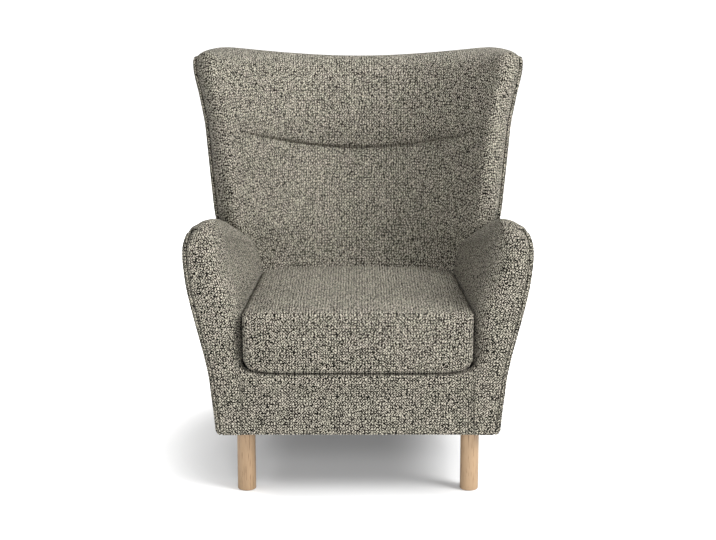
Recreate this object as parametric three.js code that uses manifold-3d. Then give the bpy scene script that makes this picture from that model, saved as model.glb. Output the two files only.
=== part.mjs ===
// High-backed wing armchair with a loose seat cushion on four round wooden legs.
// Millimetres, +Z up, X across the chair, the sitter looks towards -Y.
// Origin: on the floor, under the middle of the chair's bounding box.
import * as THREE from "three";
import { mergeVertices } from "three/addons/utils/BufferGeometryUtils.js";
import Module from "manifold-3d";

const wasm = await Module();
wasm.setup();

// Overall sizes
const chairFront = 430; // from the working origin to the plane of the arm fronts
const depthShift = 25.8; // moves the finished chair back, so that its box is centred front to back
const baseHeight = 162; // underside of the upholstery above the floor
const backHeight = 1046; // highest line of the wing tops
const topSag = 35; // how far the middle of the top edge lies under the wing tops
const backHalfWidth = 432; // outside of the wings at their widest
const clearance = 0.4; // gap between neighbouring pieces that aren't fixed face to face

// Back
const backFace = 62; // inside face at the base, behind the working origin
const backLean = 216; // how far the inside face leans back over the full height
const rearFace = 285; // outside face at the base
const rearLean = 110; // how far the outside face leans back
const wingReach = 217; // how far the wings come forward of the middle
const wingEdge = 76; // width of the rounded front edge of a wing
const wingEdgeSet = 37; // how far the welt lies behind the foremost line of the wing
const wingBulge = 42; // handle length of the rounding of the wing edge
const backPad = 50; // thickness of the inside back upholstery
const backRim = 24; // upholstery over the top and the sides of the back frame
const backArch = 34; // rounding of the top edge, on the inside
const rearArch = 20; // rounding of the top edge, on the outside
const edgeArch = 4; // the same at the front edges of the wings
const topCorner = 17; // fall of the top edge towards the side of a wing
const cornerRun = 54; // width of that fall
const channelDrop = 242; // sewn head channel under the middle of the top edge
const channelRise = 48; // how far its ends lie above its middle
const channelEnd = 132; // ends of the channel, in from the widest line of the back
const channelDepth = 13; // depth of the channel
const headCrown = 9; // fullness of the head part
const backCrown = 7; // fullness of the part under the channel

// Arms
const armHeight = 700; // line of the arm's top, carried on to the plane of the arm fronts
const armRearDrop = 128; // how much lower the top of the arm is at its rear end
const armInset = 148; // inside faces at the front, in from the widest line of the back
const armInnerFlare = 48; // how much the inside face leans out at the top of the front
const armRearIn = 37; // how much nearer to the middle the inside face is at the rear
const armRearFlare = 21; // how much the inside face leans out at the top of the rear
const armFootInset = 85; // outside face at the bottom of the front, in from the same line
const armOuterFlare = 69; // how much the outside face leans out above
const armSideStep = 16; // outside face of the arm beyond the back, at the rear end
const armInnerArch = 40; // fall of the arm's top towards its inner side, at the front
const armRearArch = 76; // the same at the rear end
const armOuterArch = 30; // fall of the arm's top towards its outer side
const armRear = 205; // rear end of the arm, behind the working origin
const armCornerIn = 60; // rounding of the inner front corner, front to back
const armCornerOut = 13; // rounding of the outer front corner
const armBrow = 60; // rounding between the front and the top of the arm
const armPad = 22; // thickness of the inside arm upholstery
const armFrontPad = 20; // upholstery on the arm fronts
const armTopPad = 30; // upholstery over the arm rail

// Outer panels and welts
const panelThick = 8; // outside panels, board and fabric
const weltRadius = 4; // sewn cord along the panel edges
const weltSet = 10; // how far the panel edge stands behind the front of its neighbour
const armWeltDrop = 30; // welt under the highest line of the arm

// Seat
const deckRise = 158; // top of the seat deck above the underside of the upholstery
const deckThick = 25;
const deckGap = 4; // gap between the deck and the inside back
const padRise = 136; // lower end of the inside back and of the inside arm faces, likewise
const cushionThick = 146; // thickness of the cushion at its front corners
const cushionCrown = 17; // how much fuller the cushion is in the middle
const cushionSide = 2; // gap between the cushion and the arms
const cushionRearGap = 2;
const cushionBulge = 6; // how far the cushion front stands out
const cushionEdge = 30; // rounding of the cushion edges
const coverThick = 7; // cover with its wadding
const slitSide = 94; // ends of the closing opening in the cushion cover, in from the arms
const slitHeight = 14;
const borderThick = 25; // front border under the cushion

// Wooden frame
const frameLift = 4; // underside of rails and blocks above the underside of the upholstery
const railDeep = 124; // height of the rails
const railThick = 25;
const frontRailSet = 26; // front rail behind the arm fronts
const sideRailSet = 13; // inner face of the side rails, out from the leg axes
const blockSize = 58; // corner blocks, square
const blockTall = 64;
const rearRailRear = 250; // rear face of the base rear rail
const sideRailRear = 198; // rear end of the side rails
const seatRailRear = 86; // rear face of the seat rear rail
const seatRailDeep = 40; // height of the seat rear rail
const postInset = 38; // inner face of the back posts, in from the leg axes
const postWide = 38;
const postDeep = 40;
const postFootY = 175; // front face of the post at its foot
const postRake = 78; // how far the post leans back over its height
const postDrop = 36; // top of the posts under the middle of the top edge
const ribThick = 18;
const ribLift = 168; // lowest board above the underside of the upholstery
const ribDrop = 35; // highest board under the tops of the posts
const ribMidShare = 0.443; // place of the middle board between the other two
const wingBoard = 15;
const wingGap = 1.7; // wing board behind the wing upholstery
const wingFootShare = 0.56; // lower end of the wing boards over the height of the back
const stumpThick = 25;
const armRailThick = 25;
const armBoard = 12;
const armFrameRear = -34; // rear end of the arm frame, seen from the working origin

// Webbing, springs and dust cover
const strapWide = 50;
const strapThick = 1.6;
const strapPitch = 130;
const wireRadius = 2;
const springSide = 76; // outermost springs, in from the arm faces
const springWave = 26; // half width of a zigzag
const springRise = 2.4; // wire centre above the rails
const springEnd = 13; // wire end inside the rail edge
const dustThick = 1.2;
const dustSet = 2.2; // dust cover above the underside

// Legs
const legRadius = 22;
const legFootRadius = 20.5;
const legInset = 41; // leg axis, in from the outside of the back at its foot
const legFrontSet = 69; // leg axis behind the arm fronts
const legRearY = 196;
const glideThick = 5;
const glideRadius = 15;
const boltRadius = 4;
const boltDown = 42; // bolt inside the leg
const boltUp = 72; // bolt above the leg
const boreGap = 0.5;
const nutRadius = 9;
const nutFlange = 3;

// Places that follow from the sizes
const armInnerHalf = backHalfWidth - armInset;
const armOuterHalf = backHalfWidth - armFootInset;
const channelHeight = backHeight - topSag - channelDrop;
const channelHalf = backHalfWidth - channelEnd;
const deckTop = baseHeight + deckRise;
const padFoot = baseHeight + padRise;
const cushionTop = deckTop + cushionThick;
const slitHalf = armInnerHalf - slitSide;
const frameFoot = baseHeight + frameLift;
const railTop = frameFoot + railDeep;
const blockTop = frameFoot + blockTall;
const postTop = backHeight - topSag - postDrop;
const ribLow = baseHeight + ribLift;
const ribTop = postTop - ribDrop;
const ribMid = ribLow + (ribTop - ribLow) * ribMidShare;
const springPitch = (armInnerHalf - springSide) / 2;

// Shapes along the height: pairs of share of the height and share of the size
const leanShares = [[0, 0], [0.156, 0.14], [0.331, 0.315], [0.517, 0.49], [0.686, 0.7], [0.957, 0.955], [1, 1]];
const rearShares = [[0, 0], [0.331, 0.19], [0.517, 0.34], [0.75, 0.65], [1, 1]];
const wingShares = [[0, 0.1], [0.156, 0.2], [0.331, 0.38], [0.514, 0.84], [0.72, 1], [1, 1]];
const widthShares = [
  [0, 0.736], [0.156, 0.768], [0.331, 0.815], [0.494, 0.864], [0.53, 0.876], [0.596, 0.889],
  [0.709, 0.912], [0.788, 0.93], [0.839, 0.951], [0.878, 0.968], [0.912, 0.984], [0.946, 0.996], [1, 1],
];
const sideSetShares = [[0, 4.1], [0.331, 4.1], [0.45, 4.1], [0.56, 1], [1, 1]];
const armOuterShares = [
  [0, 0], [0.093, 0.06], [0.185, 0.14], [0.259, 0.2], [0.352, 0.33], [0.463, 0.53], [0.574, 0.73], [0.685, 0.9],
  [0.759, 0.97], [0.815, 1], [0.86, 0.995], [0.885, 0.965], [0.905, 0.92], [0.922, 0.86], [0.934, 0.79], [1, 0.4],
];
const armInnerShares = [[0, 0], [0.509, 0], [0.583, 0.1], [0.703, 0.55], [0.796, 0.85], [0.926, 1], [1, 1]];
const armPeakShares = [0.27, 0.93]; // highest line of the arm over its width, at the front and at the rear end
const armTurnShares = [0.3, 0.55, 0.75, 0.9]; // points of the welt where the arm front turns into the top
const armHollowShare = 0.55; // room under the arm's top, as a share of the fall towards the inner side
const wingTurnShare = 0.86; // where the back begins to turn into the wing edge, over its half width
const innerPower = 2.3; // roundness of the inside back in plan
const outerPower = 3.5; // boxiness of the outside back in plan
const innerArchPower = 1.35; // roundness of the arm's top towards the inner side
const outerArchPower = 2.6; // the same towards the outer side
const taperPower = 4; // how late the arm narrows towards its rear end

const wood = { color: 0xc9a77c, roughness: 0.6, metalness: 0 };
const legWood = { color: 0xd3b083, roughness: 0.5, metalness: 0 };
const cloth = { color: 0x87827a, roughness: 0.95, metalness: 0 };
const foam = { color: 0xd8cf9e, roughness: 0.9, metalness: 0 };
const web = { color: 0x2f2d2b, roughness: 0.9, metalness: 0 };
const steel = { color: 0x9a9ca0, roughness: 0.35, metalness: 0.9 };
const plastic = { color: 0x2a2a2a, roughness: 0.5, metalness: 0 };

// Places across that follow from the width of the back at its foot
const legX = backHalfWidth * widthShares[0][1] - legInset;
const sideRailIn = legX + sideRailSet;
const postIn = legX - postInset;

// Smooth curve through a table of shares, without overshoot
function along(table, t) {
  const last = table.length - 1;
  if (t <= table[0][0]) return table[0][1];
  if (t >= table[last][0]) return table[last][1];
  const slope = (i) => (table[i + 1][1] - table[i][1]) / (table[i + 1][0] - table[i][0]);
  const tangent = (i) => {
    if (i === 0) return slope(0);
    if (i === last) return slope(last - 1);
    const a = slope(i - 1);
    const b = slope(i);
    return a * b <= 0 ? 0 : (2 * a * b) / (a + b);
  };
  let i = 0;
  while (t > table[i + 1][0]) i += 1;
  const h = table[i + 1][0] - table[i][0];
  const s = (t - table[i][0]) / h;
  return (
    (2 * s ** 3 - 3 * s ** 2 + 1) * table[i][1] +
    (s ** 3 - 2 * s ** 2 + s) * h * tangent(i) +
    (3 * s ** 2 - 2 * s ** 3) * table[i + 1][1] +
    (s ** 3 - s ** 2) * h * tangent(i + 1)
  );
}

const mix = (a, b, t) => a + (b - a) * t;
const clamp = (t, lo = 0, hi = 1) => Math.min(hi, Math.max(lo, t));
const ease = (t) => clamp(t) ** 2 * (3 - 2 * clamp(t));
const dip = (t, p) => 1 - (1 - clamp(Math.abs(t)) ** p) ** (1 / p);
const steps = (n) => Array.from({ length: n + 1 }, (_, i) => i / n);
const both = (half) => [...half.slice(1).reverse().map((t) => -t), ...half];

// Signed volume of a triangle list, negative where its faces look inwards
function volume(position, faces) {
  const corner = (i) => new THREE.Vector3().fromArray(position, 3 * i);
  let sum = 0;
  for (let i = 0; i < faces.length; i += 3) {
    sum += corner(faces[i]).dot(corner(faces[i + 1]).cross(corner(faces[i + 2])));
  }
  return sum;
}

// Closed solid from a grid on the six faces of a box: at(u, v, s) gives each point
function block(at, us, vs, ss) {
  const index = new Map();
  const position = [];
  const faces = [];
  const point = (i, j, k) => {
    const key = i + "," + j + "," + k;
    if (!index.has(key)) {
      index.set(key, position.length / 3);
      position.push(...at(us[i], vs[j], ss[k]));
    }
    return index.get(key);
  };
  const quad = (a, b, c, d) => faces.push(a, b, c, a, c, d);
  const [nu, nv, ns] = [us.length - 1, vs.length - 1, ss.length - 1];
  for (let i = 0; i < nu; i += 1) {
    for (let j = 0; j < nv; j += 1) {
      quad(point(i, j, 0), point(i + 1, j, 0), point(i + 1, j + 1, 0), point(i, j + 1, 0));
      quad(point(i, j, ns), point(i, j + 1, ns), point(i + 1, j + 1, ns), point(i + 1, j, ns));
    }
    for (let k = 0; k < ns; k += 1) {
      quad(point(i, 0, k), point(i, 0, k + 1), point(i + 1, 0, k + 1), point(i + 1, 0, k));
      quad(point(i, nv, k), point(i + 1, nv, k), point(i + 1, nv, k + 1), point(i, nv, k + 1));
    }
  }
  for (let j = 0; j < nv; j += 1) {
    for (let k = 0; k < ns; k += 1) {
      quad(point(0, j, k), point(0, j + 1, k), point(0, j + 1, k + 1), point(0, j, k + 1));
      quad(point(nu, j, k), point(nu, j, k + 1), point(nu, j + 1, k + 1), point(nu, j + 1, k));
    }
  }
  if (volume(position, faces) < 0) faces.reverse();
  const geometry = new THREE.BufferGeometry();
  geometry.setAttribute("position", new THREE.Float32BufferAttribute(position, 3));
  geometry.setIndex(faces);
  return geometry;
}

// Straight box between two corners
function box(lo, hi) {
  const geometry = new THREE.BoxGeometry(hi[0] - lo[0], hi[1] - lo[1], hi[2] - lo[2]);
  return geometry.translate((lo[0] + hi[0]) / 2, (lo[1] + hi[1]) / 2, (lo[2] + hi[2]) / 2);
}

// Upright turned piece from radius and height pairs
function turned(profile, sides, x, y) {
  const geometry = new THREE.LatheGeometry(profile.map(([r, z]) => new THREE.Vector2(r, z)), sides);
  return geometry.rotateX(Math.PI / 2).translate(x, y, 0);
}

// Round cord along a smooth path
function cord(points, radius, count, sides) {
  const path = new THREE.CatmullRomCurve3(points.map((p) => new THREE.Vector3(...p)), false, "centripetal");
  const ring = new THREE.Shape();
  for (let i = 0; i < sides; i += 1) {
    const a = (2 * Math.PI * i) / sides;
    const place = [radius * Math.cos(a), radius * Math.sin(a)];
    if (i === 0) ring.moveTo(...place);
    else ring.lineTo(...place);
  }
  ring.closePath();
  return new THREE.ExtrudeGeometry(ring, { steps: count, extrudePath: path, curveSegments: 1 });
}

function solid(geometry) {
  const plain = geometry.index ? geometry.toNonIndexed() : geometry.clone();
  plain.deleteAttribute("normal");
  plain.deleteAttribute("uv");
  const merged = mergeVertices(plain, 1e-3);
  const made = new wasm.Manifold(
    new wasm.Mesh({
      numProp: 3,
      vertProperties: new Float32Array(merged.attributes.position.array),
      triVerts: new Uint32Array(merged.index.array),
    }),
  );
  return made;
}

function geometryOf(body) {
  const mesh = body.getMesh();
  const geometry = new THREE.BufferGeometry();
  geometry.setAttribute("position", new THREE.Float32BufferAttribute(mesh.vertProperties, mesh.numProp));
  geometry.setIndex(Array.from(mesh.triVerts));
  return geometry;
}

// Takes the tools away from a geometry, without the loose slivers that this can leave
function cut(geometry, ...tools) {
  const left = tools.reduce((body, tool) => body.subtract(solid(tool)), solid(geometry));
  const pieces = left.decompose().sort((a, b) => b.volume() - a.volume());
  return geometryOf(pieces[0]);
}

// Turns a geometry over to the other side of the chair
function mirrored(geometry) {
  const other = (geometry.index ? geometry.toNonIndexed() : geometry.clone()).scale(-1, 1, 1);
  const p = other.attributes.position.array;
  for (let i = 0; i < p.length; i += 9) {
    for (let k = 0; k < 3; k += 1) [p[i + 3 + k], p[i + 6 + k]] = [p[i + 6 + k], p[i + 3 + k]];
  }
  other.deleteAttribute("normal");
  other.deleteAttribute("uv");
  return other;
}

const chair = new THREE.Group();
chair.position.y = depthShift;

function add(name, geometry, look) {
  const mesh = new THREE.Mesh(geometry, new THREE.MeshStandardMaterial(look));
  mesh.name = name;
  chair.add(mesh);
}

function addPair(name, geometry, look) {
  add(name + "_right", geometry, look);
  add(name + "_left", mirrored(geometry), look);
}

// Form of the back
const share = (z) => (z - baseHeight) / (backHeight - baseHeight);
const innerY = (z) => backFace + backLean * along(leanShares, share(z));
const outerY = (z) => rearFace + rearLean * along(rearShares, share(z));
const outerHalf = (z) => backHalfWidth * along(widthShares, share(z));
const innerHalf = (z) => outerHalf(z) - wingEdge;
const wing = (z) => wingReach * along(wingShares, share(z));
const edgeY = (z) => innerY(z) - wing(z);
const sideY = (z) => edgeY(z) + wingEdgeSet * along(sideSetShares, share(z));

// Height of the top edge over a place across the chair
function topEdge(x) {
  const peak = backHalfWidth - cornerRun;
  const side = Math.abs(x);
  const run = clamp((side - peak) / cornerRun);
  return backHeight - topSag * (1 - Math.min(side / peak, 1) ** 2) - topCorner * run ** 2;
}

const wingTurn = (u) => ease((Math.abs(u) - wingTurnShare) / (1 - wingTurnShare));
const outerArch = (u) => mix(rearArch, edgeArch, wingTurn(u));
const channelZ = (x) => channelHeight + channelRise * (x / channelHalf) ** 2;

// Fullness of the inside back and its head channel
function crown(x, z) {
  const low = clamp((z - padFoot) / (channelZ(x) - padFoot));
  const high = clamp((z - channelZ(x)) / (topEdge(x) - channelZ(x)));
  const across = 1 - clamp(Math.abs(x) / (channelHalf * 1.15)) ** 3;
  const full = backCrown * Math.sin(Math.PI * low) + headCrown * Math.sin(Math.PI * high ** 0.55);
  const fade = clamp(1 - (Math.abs(x) / channelHalf) ** 4);
  const groove = Math.exp(-(((z - channelZ(x)) / channelDepth) ** 2));
  return full * across - channelDepth * fade * groove;
}

function innerPoint(u, z, grow) {
  const half = innerHalf(z);
  const y = innerY(z) - wing(z) * Math.abs(u) ** innerPower - crown(u * half, z);
  return [u * half, y - grow];
}

function outerPoint(u, z, inset) {
  const turn = (Math.abs(u) * Math.PI) / 2;
  const half = outerHalf(z) - inset;
  const rise = (1 - Math.sin(turn) ** outerPower) ** (1 / outerPower);
  return [Math.sign(u) * half * Math.sin(turn), sideY(z) + (outerY(z) - inset - sideY(z)) * rise];
}

// Rounded front edge of the wing, from the inside face round to the outside
function wingRound(side, z, inset, grow, s) {
  const [ax, ay] = innerPoint(1, z, grow);
  const [bx, by] = outerPoint(1, z, inset);
  const slope = Math.atan((wing(z) * innerPower) / innerHalf(z));
  const px = [ax, ax + wingBulge * Math.cos(slope), bx, bx];
  const py = [ay, ay - wingBulge * Math.sin(slope), by - wingBulge - grow, by];
  const weights = [(1 - s) ** 3, 3 * s * (1 - s) ** 2, 3 * s ** 2 * (1 - s), s ** 3];
  return [side * weights.reduce((t, w, i) => t + w * px[i], 0), weights.reduce((t, w, i) => t + w * py[i], 0)];
}

// Point of the back: u across, z height, s from the inside face to the outside
function backPlan(u, z, s, inset, grow) {
  const [ax, ay] = innerPoint(u, z, grow);
  const [bx, by] = outerPoint(u, z, inset);
  const flat = [mix(ax, bx, s), mix(ay, by, s)];
  const bend = wingTurn(u);
  if (bend === 0) return flat;
  const side = Math.sign(u);
  const [ex, ey] = innerPoint(side, z, grow);
  const [fx, fy] = outerPoint(side, z, inset);
  const [rx, ry] = wingRound(side, z, inset, grow, s);
  return [flat[0] + bend * (rx - mix(ex, fx, s)), flat[1] + bend * (ry - mix(ey, fy, s))];
}

const backColumns = both([0, 0.15, 0.3, 0.45, 0.58, 0.7, 0.8, 0.88, 0.94, 0.98, 1]);
const channelRow = 0.6;
const backRows = [0, 0.17, 0.32, 0.44, 0.54, 0.585, 0.6, 0.614, 0.65, 0.73, 0.82, 0.9, 0.95, 0.985, 1];
const roundSteps = [0, 0.13, 0.3, 0.5, 0.7, 0.88, 1];

function backSolid(foot, inset, grow, columns, rows) {
  const at = (u, v, s) => {
    const flatX = backPlan(u, backHeight, s, inset, grow)[0];
    const arch = s < 0.45 ? backArch * dip(1 - s / 0.45, 2) : outerArch(u) * dip((s - 0.45) / 0.55, 2);
    const top = topEdge((flatX * backHalfWidth) / (backHalfWidth + grow - Math.min(inset, weltSet))) - arch + grow;
    const guide = channelZ(flatX);
    const z = v < channelRow ? mix(foot, guide, v / channelRow) : mix(guide, top, (v - channelRow) / (1 - channelRow));
    const [x, y] = backPlan(u, z, s, inset, grow);
    return [x, y, z];
  };
  return block(at, columns, rows, roundSteps);
}

// Space behind the inside back upholstery
function backHollow(depth) {
  const columns = both([0, 0.3, 0.5, 0.68, 0.8, 0.87, 0.93]);
  const rows = steps(9);
  const at = (u, v, k) => {
    const over = k === 0 ? 0.5 : 1.2;
    const flatX = mix(innerPoint(u, backHeight, 0)[0], outerPoint(u, backHeight, 0)[0], over);
    const arch = k === 0 ? backArch / 2 : rearArch;
    const top = topEdge(Math.min(Math.abs(flatX), backHalfWidth)) - backRim - arch;
    const z = mix(padFoot - backRim, top, v);
    const [ax, ay] = innerPoint(u, z, 0);
    const [bx, by] = outerPoint(u, z, 0);
    const s = k === 0 ? depth / Math.hypot(bx - ax, by - ay) : over;
    return [mix(ax, bx, s), mix(ay, by, s) + crown(ax, z), z];
  };
  return block(at, columns, rows, [0, 1]);
}

// Places across the outside back that the panel's columns and its welt share
const panelShares = [0, 0.14, 0.28, 0.42, 0.55, 0.66, 0.76, 0.86, 0.93, 0.97, 1];

// Outside back panel, curved round to the wing edges, or the room that it takes in its neighbours
function outsideBack(grow) {
  const columns = both(panelShares);
  const rows = [0, 0.16, 0.33, 0.44, 0.5, 0.56, 0.63, 0.74, 0.84, 0.92, 0.97, 1];
  const at = (u, v, s) => {
    const flatX = outerPoint(u, backHeight, 0)[0];
    const top = topEdge(flatX) - outerArch(u) - weltRadius * 2 - clearance * 2 + grow;
    const z = mix(baseHeight - grow, top, v);
    const inset = grow ? mix(panelThick + grow, -panelThick * 2, s) : panelThick * (1 - s);
    const [x, y] = outerPoint(u, z, inset);
    const front = sideY(z) + weltSet - grow;
    return [x, Math.max(y, front + (y - sideY(z)) * 0.01), z];
  };
  return block(at, columns, rows, [0, 1]);
}
add("outside_back", cut(outsideBack(0), backWelt(clearance)), cloth);

// Welt round the outside back panel, from arm to arm over the top
function backWelt(grow) {
  const half = [];
  const start = armHeight - armRearDrop - grow;
  const sideTop = backHeight - topCorner - edgeArch - weltRadius;
  steps(7).forEach((t) => {
    const z = mix(start, sideTop, t);
    half.push([outerHalf(z) - weltRadius - clearance / 2, sideY(z) + weltSet - weltRadius - clearance, z]);
  });
  panelShares.slice(1, -1).reverse().forEach((u) => {
    const flatX = outerPoint(u, backHeight, 0)[0];
    const z = topEdge(flatX) - outerArch(u) - weltRadius;
    const [x, y] = outerPoint(u, z, weltRadius + clearance / 2);
    half.push([x, y, z]);
  });
  const middle = topEdge(0) - rearArch - weltRadius;
  const other = half.map(([x, y, z]) => [-x, y, z]).reverse();
  const points = [...half, [0, outerY(middle) - weltRadius - clearance / 2, middle], ...other];
  return cord(points, weltRadius + grow, 68, 6);
}
add("back_piping", backWelt(0), cloth);

// Inner face of the outside back panel over a place across the chair
function panelY(x, z) {
  const half = outerHalf(z) - panelThick;
  const rise = (1 - clamp(Math.abs(x) / half) ** outerPower) ** (1 / outerPower);
  return sideY(z) + (outerY(z) - panelThick - sideY(z)) * rise;
}

// Inside back upholstery, one cap over the front, the top and the wing edges
const skinInset = panelThick + clearance;
const padBody = backSolid(padFoot, skinInset, 0, backColumns, backRows);
add("inside_back", cut(padBody, backHollow(backPad), outsideBack(clearance), backWelt(clearance)), cloth);

// Form of the arms
const armShare = (z) => (z - baseHeight) / (armHeight - baseHeight);
const armRun = (y) => (y + chairFront) / (armRear + chairFront);

function armInner(y, z) {
  const t = armRun(y);
  const flare = mix(armInnerFlare, armRearFlare, t) * along(armInnerShares, armShare(z));
  return armInnerHalf - armRearIn * t + flare;
}

function armOuter(y, z) {
  const t = clamp(armRun(y));
  const front = armOuterHalf + armOuterFlare * along(armOuterShares, armShare(z));
  const rear = outerHalf(z) + armSideStep;
  return mix(front, rear, t ** taperPower);
}

const armTop = (y) => armHeight - armRearDrop * armRun(y);
const armInnerFall = (y) => mix(armInnerArch, armRearArch, armRun(y));

// Fall of the arm's top from its highest line to both sides
function armFall(s, y) {
  const peak = mix(...armPeakShares, armRun(y));
  if (s < peak) return armInnerFall(y) * dip((peak - s) / peak, innerArchPower);
  return armOuterArch * dip((s - peak) / (1 - peak), outerArchPower);
}

// Front plane of the arm over its width, with its rounded corners
function armFront(s, v, width, z) {
  const inner = clamp(1 - (s * width) / (armCornerIn * 0.85));
  const outer = clamp(1 - ((1 - s) * width) / armCornerOut);
  const brow = clamp(1 - (1 - v) * ((armHeight - baseHeight) / armBrow));
  const open = ease((z - padFoot) / (deckTop + cushionEdge - padFoot));
  return -chairFront + armCornerIn * dip(inner, 2) * open + armCornerOut * dip(outer, 2) + armBrow * dip(brow, 2);
}

function armSolid(rearEnd) {
  const runs = [1, 0.86, 0.72, 0.58, 0.42, 0.26, 0.14, 0.06, 0];
  const rows = [0, 0.12, 0.25, 0.38, 0.52, 0.66, 0.78, 0.885, 0.935, 0.965, 0.985, 0.996, 1];
  const across = [0, 0.04, 0.1, 0.18, 0.28, 0.4, 0.52, 0.64, 0.76, 0.87, 0.95, 0.985, 1];
  const at = (u, v, s) => {
    const z0 = mix(baseHeight, armHeight, v);
    const width = armOuter(-chairFront, z0) - armInner(-chairFront, z0);
    const y = mix(armFront(s, v, width, z0), rearEnd, u);
    const z = mix(baseHeight, armTop(y) - armFall(s, y), v);
    return [mix(armInner(y, z), armOuter(y, z) - skinInset, s), y, z];
  };
  return block(at, runs.reverse(), rows, across);
}

// Underside of the upholstery over the arm rail
const armRoof = (y) => armTop(y) - armTopPad - armInnerFall(y) * armHollowShare;

// Space inside the arm upholstery, open to the outside, the rear and below
function armHollow() {
  const at = (u, v, s) => {
    const y = mix(-chairFront + armFrontPad, armRear + armCornerIn, u);
    const z = mix(padFoot - clearance, armRoof(y), v);
    return [mix(armInner(y, z) + armPad, armOuter(y, z) + panelThick, s), y, z];
  };
  return block(at, steps(6), steps(6), [0, 1]);
}

function armHollowLow() {
  const at = (u, v, s) => {
    const y = mix(-chairFront + armFrontPad, armRear + armCornerIn, u);
    const z = mix(baseHeight - armPad, padFoot, v);
    return [mix(armInner(y, z) - armPad, armOuter(y, z) + panelThick, s), y, z];
  };
  return block(at, steps(4), steps(2), [0, 1]);
}

// Front edge of the arm's outer side, which turns back below the top as the arm front does
const armTurnTop = armTop(-chairFront + armBrow / 2) - armOuterArch;
const armTurnLow = mix(armTurnTop, baseHeight, armBrow / (armHeight - baseHeight));
const armEdge = (z) => -chairFront + armBrow * dip(clamp((z - armTurnLow) / (armTurnTop - armTurnLow)), 2);

// Outside arm panel, or the room that it takes in its neighbour
function outsideArm(grow) {
  const runs = [0, 0.03, 0.12, 0.3, 0.5, 0.66, 0.8, 0.9, 1];
  const rows = [0, 0.15, 0.3, 0.45, 0.6, 0.75, 0.87, 0.93, 0.965, 0.985, 1];
  const rearEnd = armRear - weltRadius * 2 + grow * 2;
  const heightAt = (y, v) => mix(baseHeight - grow, armTop(y) - armWeltDrop - weltRadius - clearance + grow, v);
  const at = (u, v, s) => {
    const y = mix(armEdge(heightAt(mix(-chairFront, rearEnd, u), v)) + weltSet - grow, rearEnd, u);
    const z = heightAt(y, v);
    return [armOuter(y, z) - (panelThick + grow) * (1 - s) + grow * s, y, z];
  };
  return block(at, runs, rows, [0, 1]);
}

// Welt round the outside arm panel: up the front, back along the top, down the rear
function armWelt(grow) {
  const points = [];
  const front = -chairFront + weltSet - weltRadius - clearance;
  const rear = armRear - weltRadius * 2 + weltRadius + clearance;
  const place = (y, z) => points.push([armOuter(y, z) - weltRadius - clearance / 2, y, z]);
  const bend = 14;
  const topOf = (y) => armTop(y) - armWeltDrop + clearance;
  steps(6).forEach((t) => place(front, mix(baseHeight + clearance, armTurnLow, t)));
  armTurnShares.forEach((t) => {
    const z = mix(armTurnLow, armTurnTop, t);
    place(armEdge(z) + front + chairFront, z);
  });
  const behind = front + armBrow * 0.85;
  steps(8).forEach((t) => place(mix(behind, rear - bend, t), topOf(mix(behind, rear - bend, t))));
  place(rear - bend * 0.3, topOf(rear) - bend * 0.3);
  steps(6).forEach((t) => place(rear, mix(topOf(rear) - bend, baseHeight + clearance, t)));
  return cord(points, weltRadius + grow, 44, 6);
}
addPair("arm_piping", armWelt(0), cloth);
addPair("outside_arm", cut(outsideArm(0), armWelt(clearance)), cloth);

const backRoom = backSolid(padFoot - clearance, -clearance, clearance, backColumns, backRows);
const armBody = cut(armSolid(armRear - weltRadius), armHollow(), armHollowLow(), backRoom);
addPair("inside_arm", cut(armBody, outsideBack(clearance), outsideArm(clearance), armWelt(clearance)), cloth);

// Front border between the arms
function frontBorder() {
  const across = both([0, 0.5, 0.9, 1]);
  const at = (u, v, s) => {
    const z = mix(baseHeight, deckTop - clearance, v);
    const lip = borderThick * 0.2 * dip((v - 0.86) / 0.14, 2);
    const y = s === 0 ? -chairFront + lip : -chairFront + borderThick;
    return [u * (armInner(y, z) - clearance), y, z - (s === 1 ? 0 : lip * 0.2)];
  };
  return block(at, across, [0, 0.5, 0.86, 0.93, 0.975, 1], [0, 1]);
}
add("front_border", frontBorder(), cloth);

// Loose seat cushion
function cushionPoint(u, v, s, inset) {
  const zLow = deckTop + inset;
  const edgeOf = (t) => dip(clamp((Math.abs(t) - 0.8) / 0.2), 2.2);
  const side = edgeOf(u);
  const round = edgeOf(2 * s - 1);
  const lift = cushionEdge * 0.55 * clamp(side + round, 0, 1);
  const middle = (1 - Math.abs(u) ** 2.2) * (1 - Math.abs(2 * s - 1) ** 2.6);
  const top = cushionTop + cushionCrown * middle - cushionEdge * 0.8 * clamp(Math.max(side, round * (s < 0.5 ? 1 : 0.5))) - inset;
  const z = mix(zLow + lift * (v < 0.5 ? 1 : 0), top, v);
  const full = 1 - dip(2 * v - 1, 2.4);
  const draw = (1 - full) * cushionEdge * 0.4;
  const yFront = -chairFront - cushionBulge * full + draw * 1.2 + inset;
  const halfAt = (y) => armInner(y, deckTop) - cushionSide - draw - inset;
  const cornerIn = cushionEdge * 0.5;
  const frontY = yFront + cornerIn * dip(clamp((Math.abs(u) - 0.86) / 0.14), 2);
  const guessX = u * halfAt(mix(frontY, innerY(z), s));
  const wall = innerY(z) - wing(z) * Math.abs(guessX / innerHalf(z)) ** innerPower;
  const rearY = Math.min(wall, innerY(deckTop)) - cushionRearGap - backCrown - draw - inset;
  const y = mix(frontY, rearY, s);
  return [u * halfAt(y), y, z];
}

function cushion(inset, us, vs, ss) {
  return block((u, v, s) => cushionPoint(u, v, s, inset), us, vs, ss);
}

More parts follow.
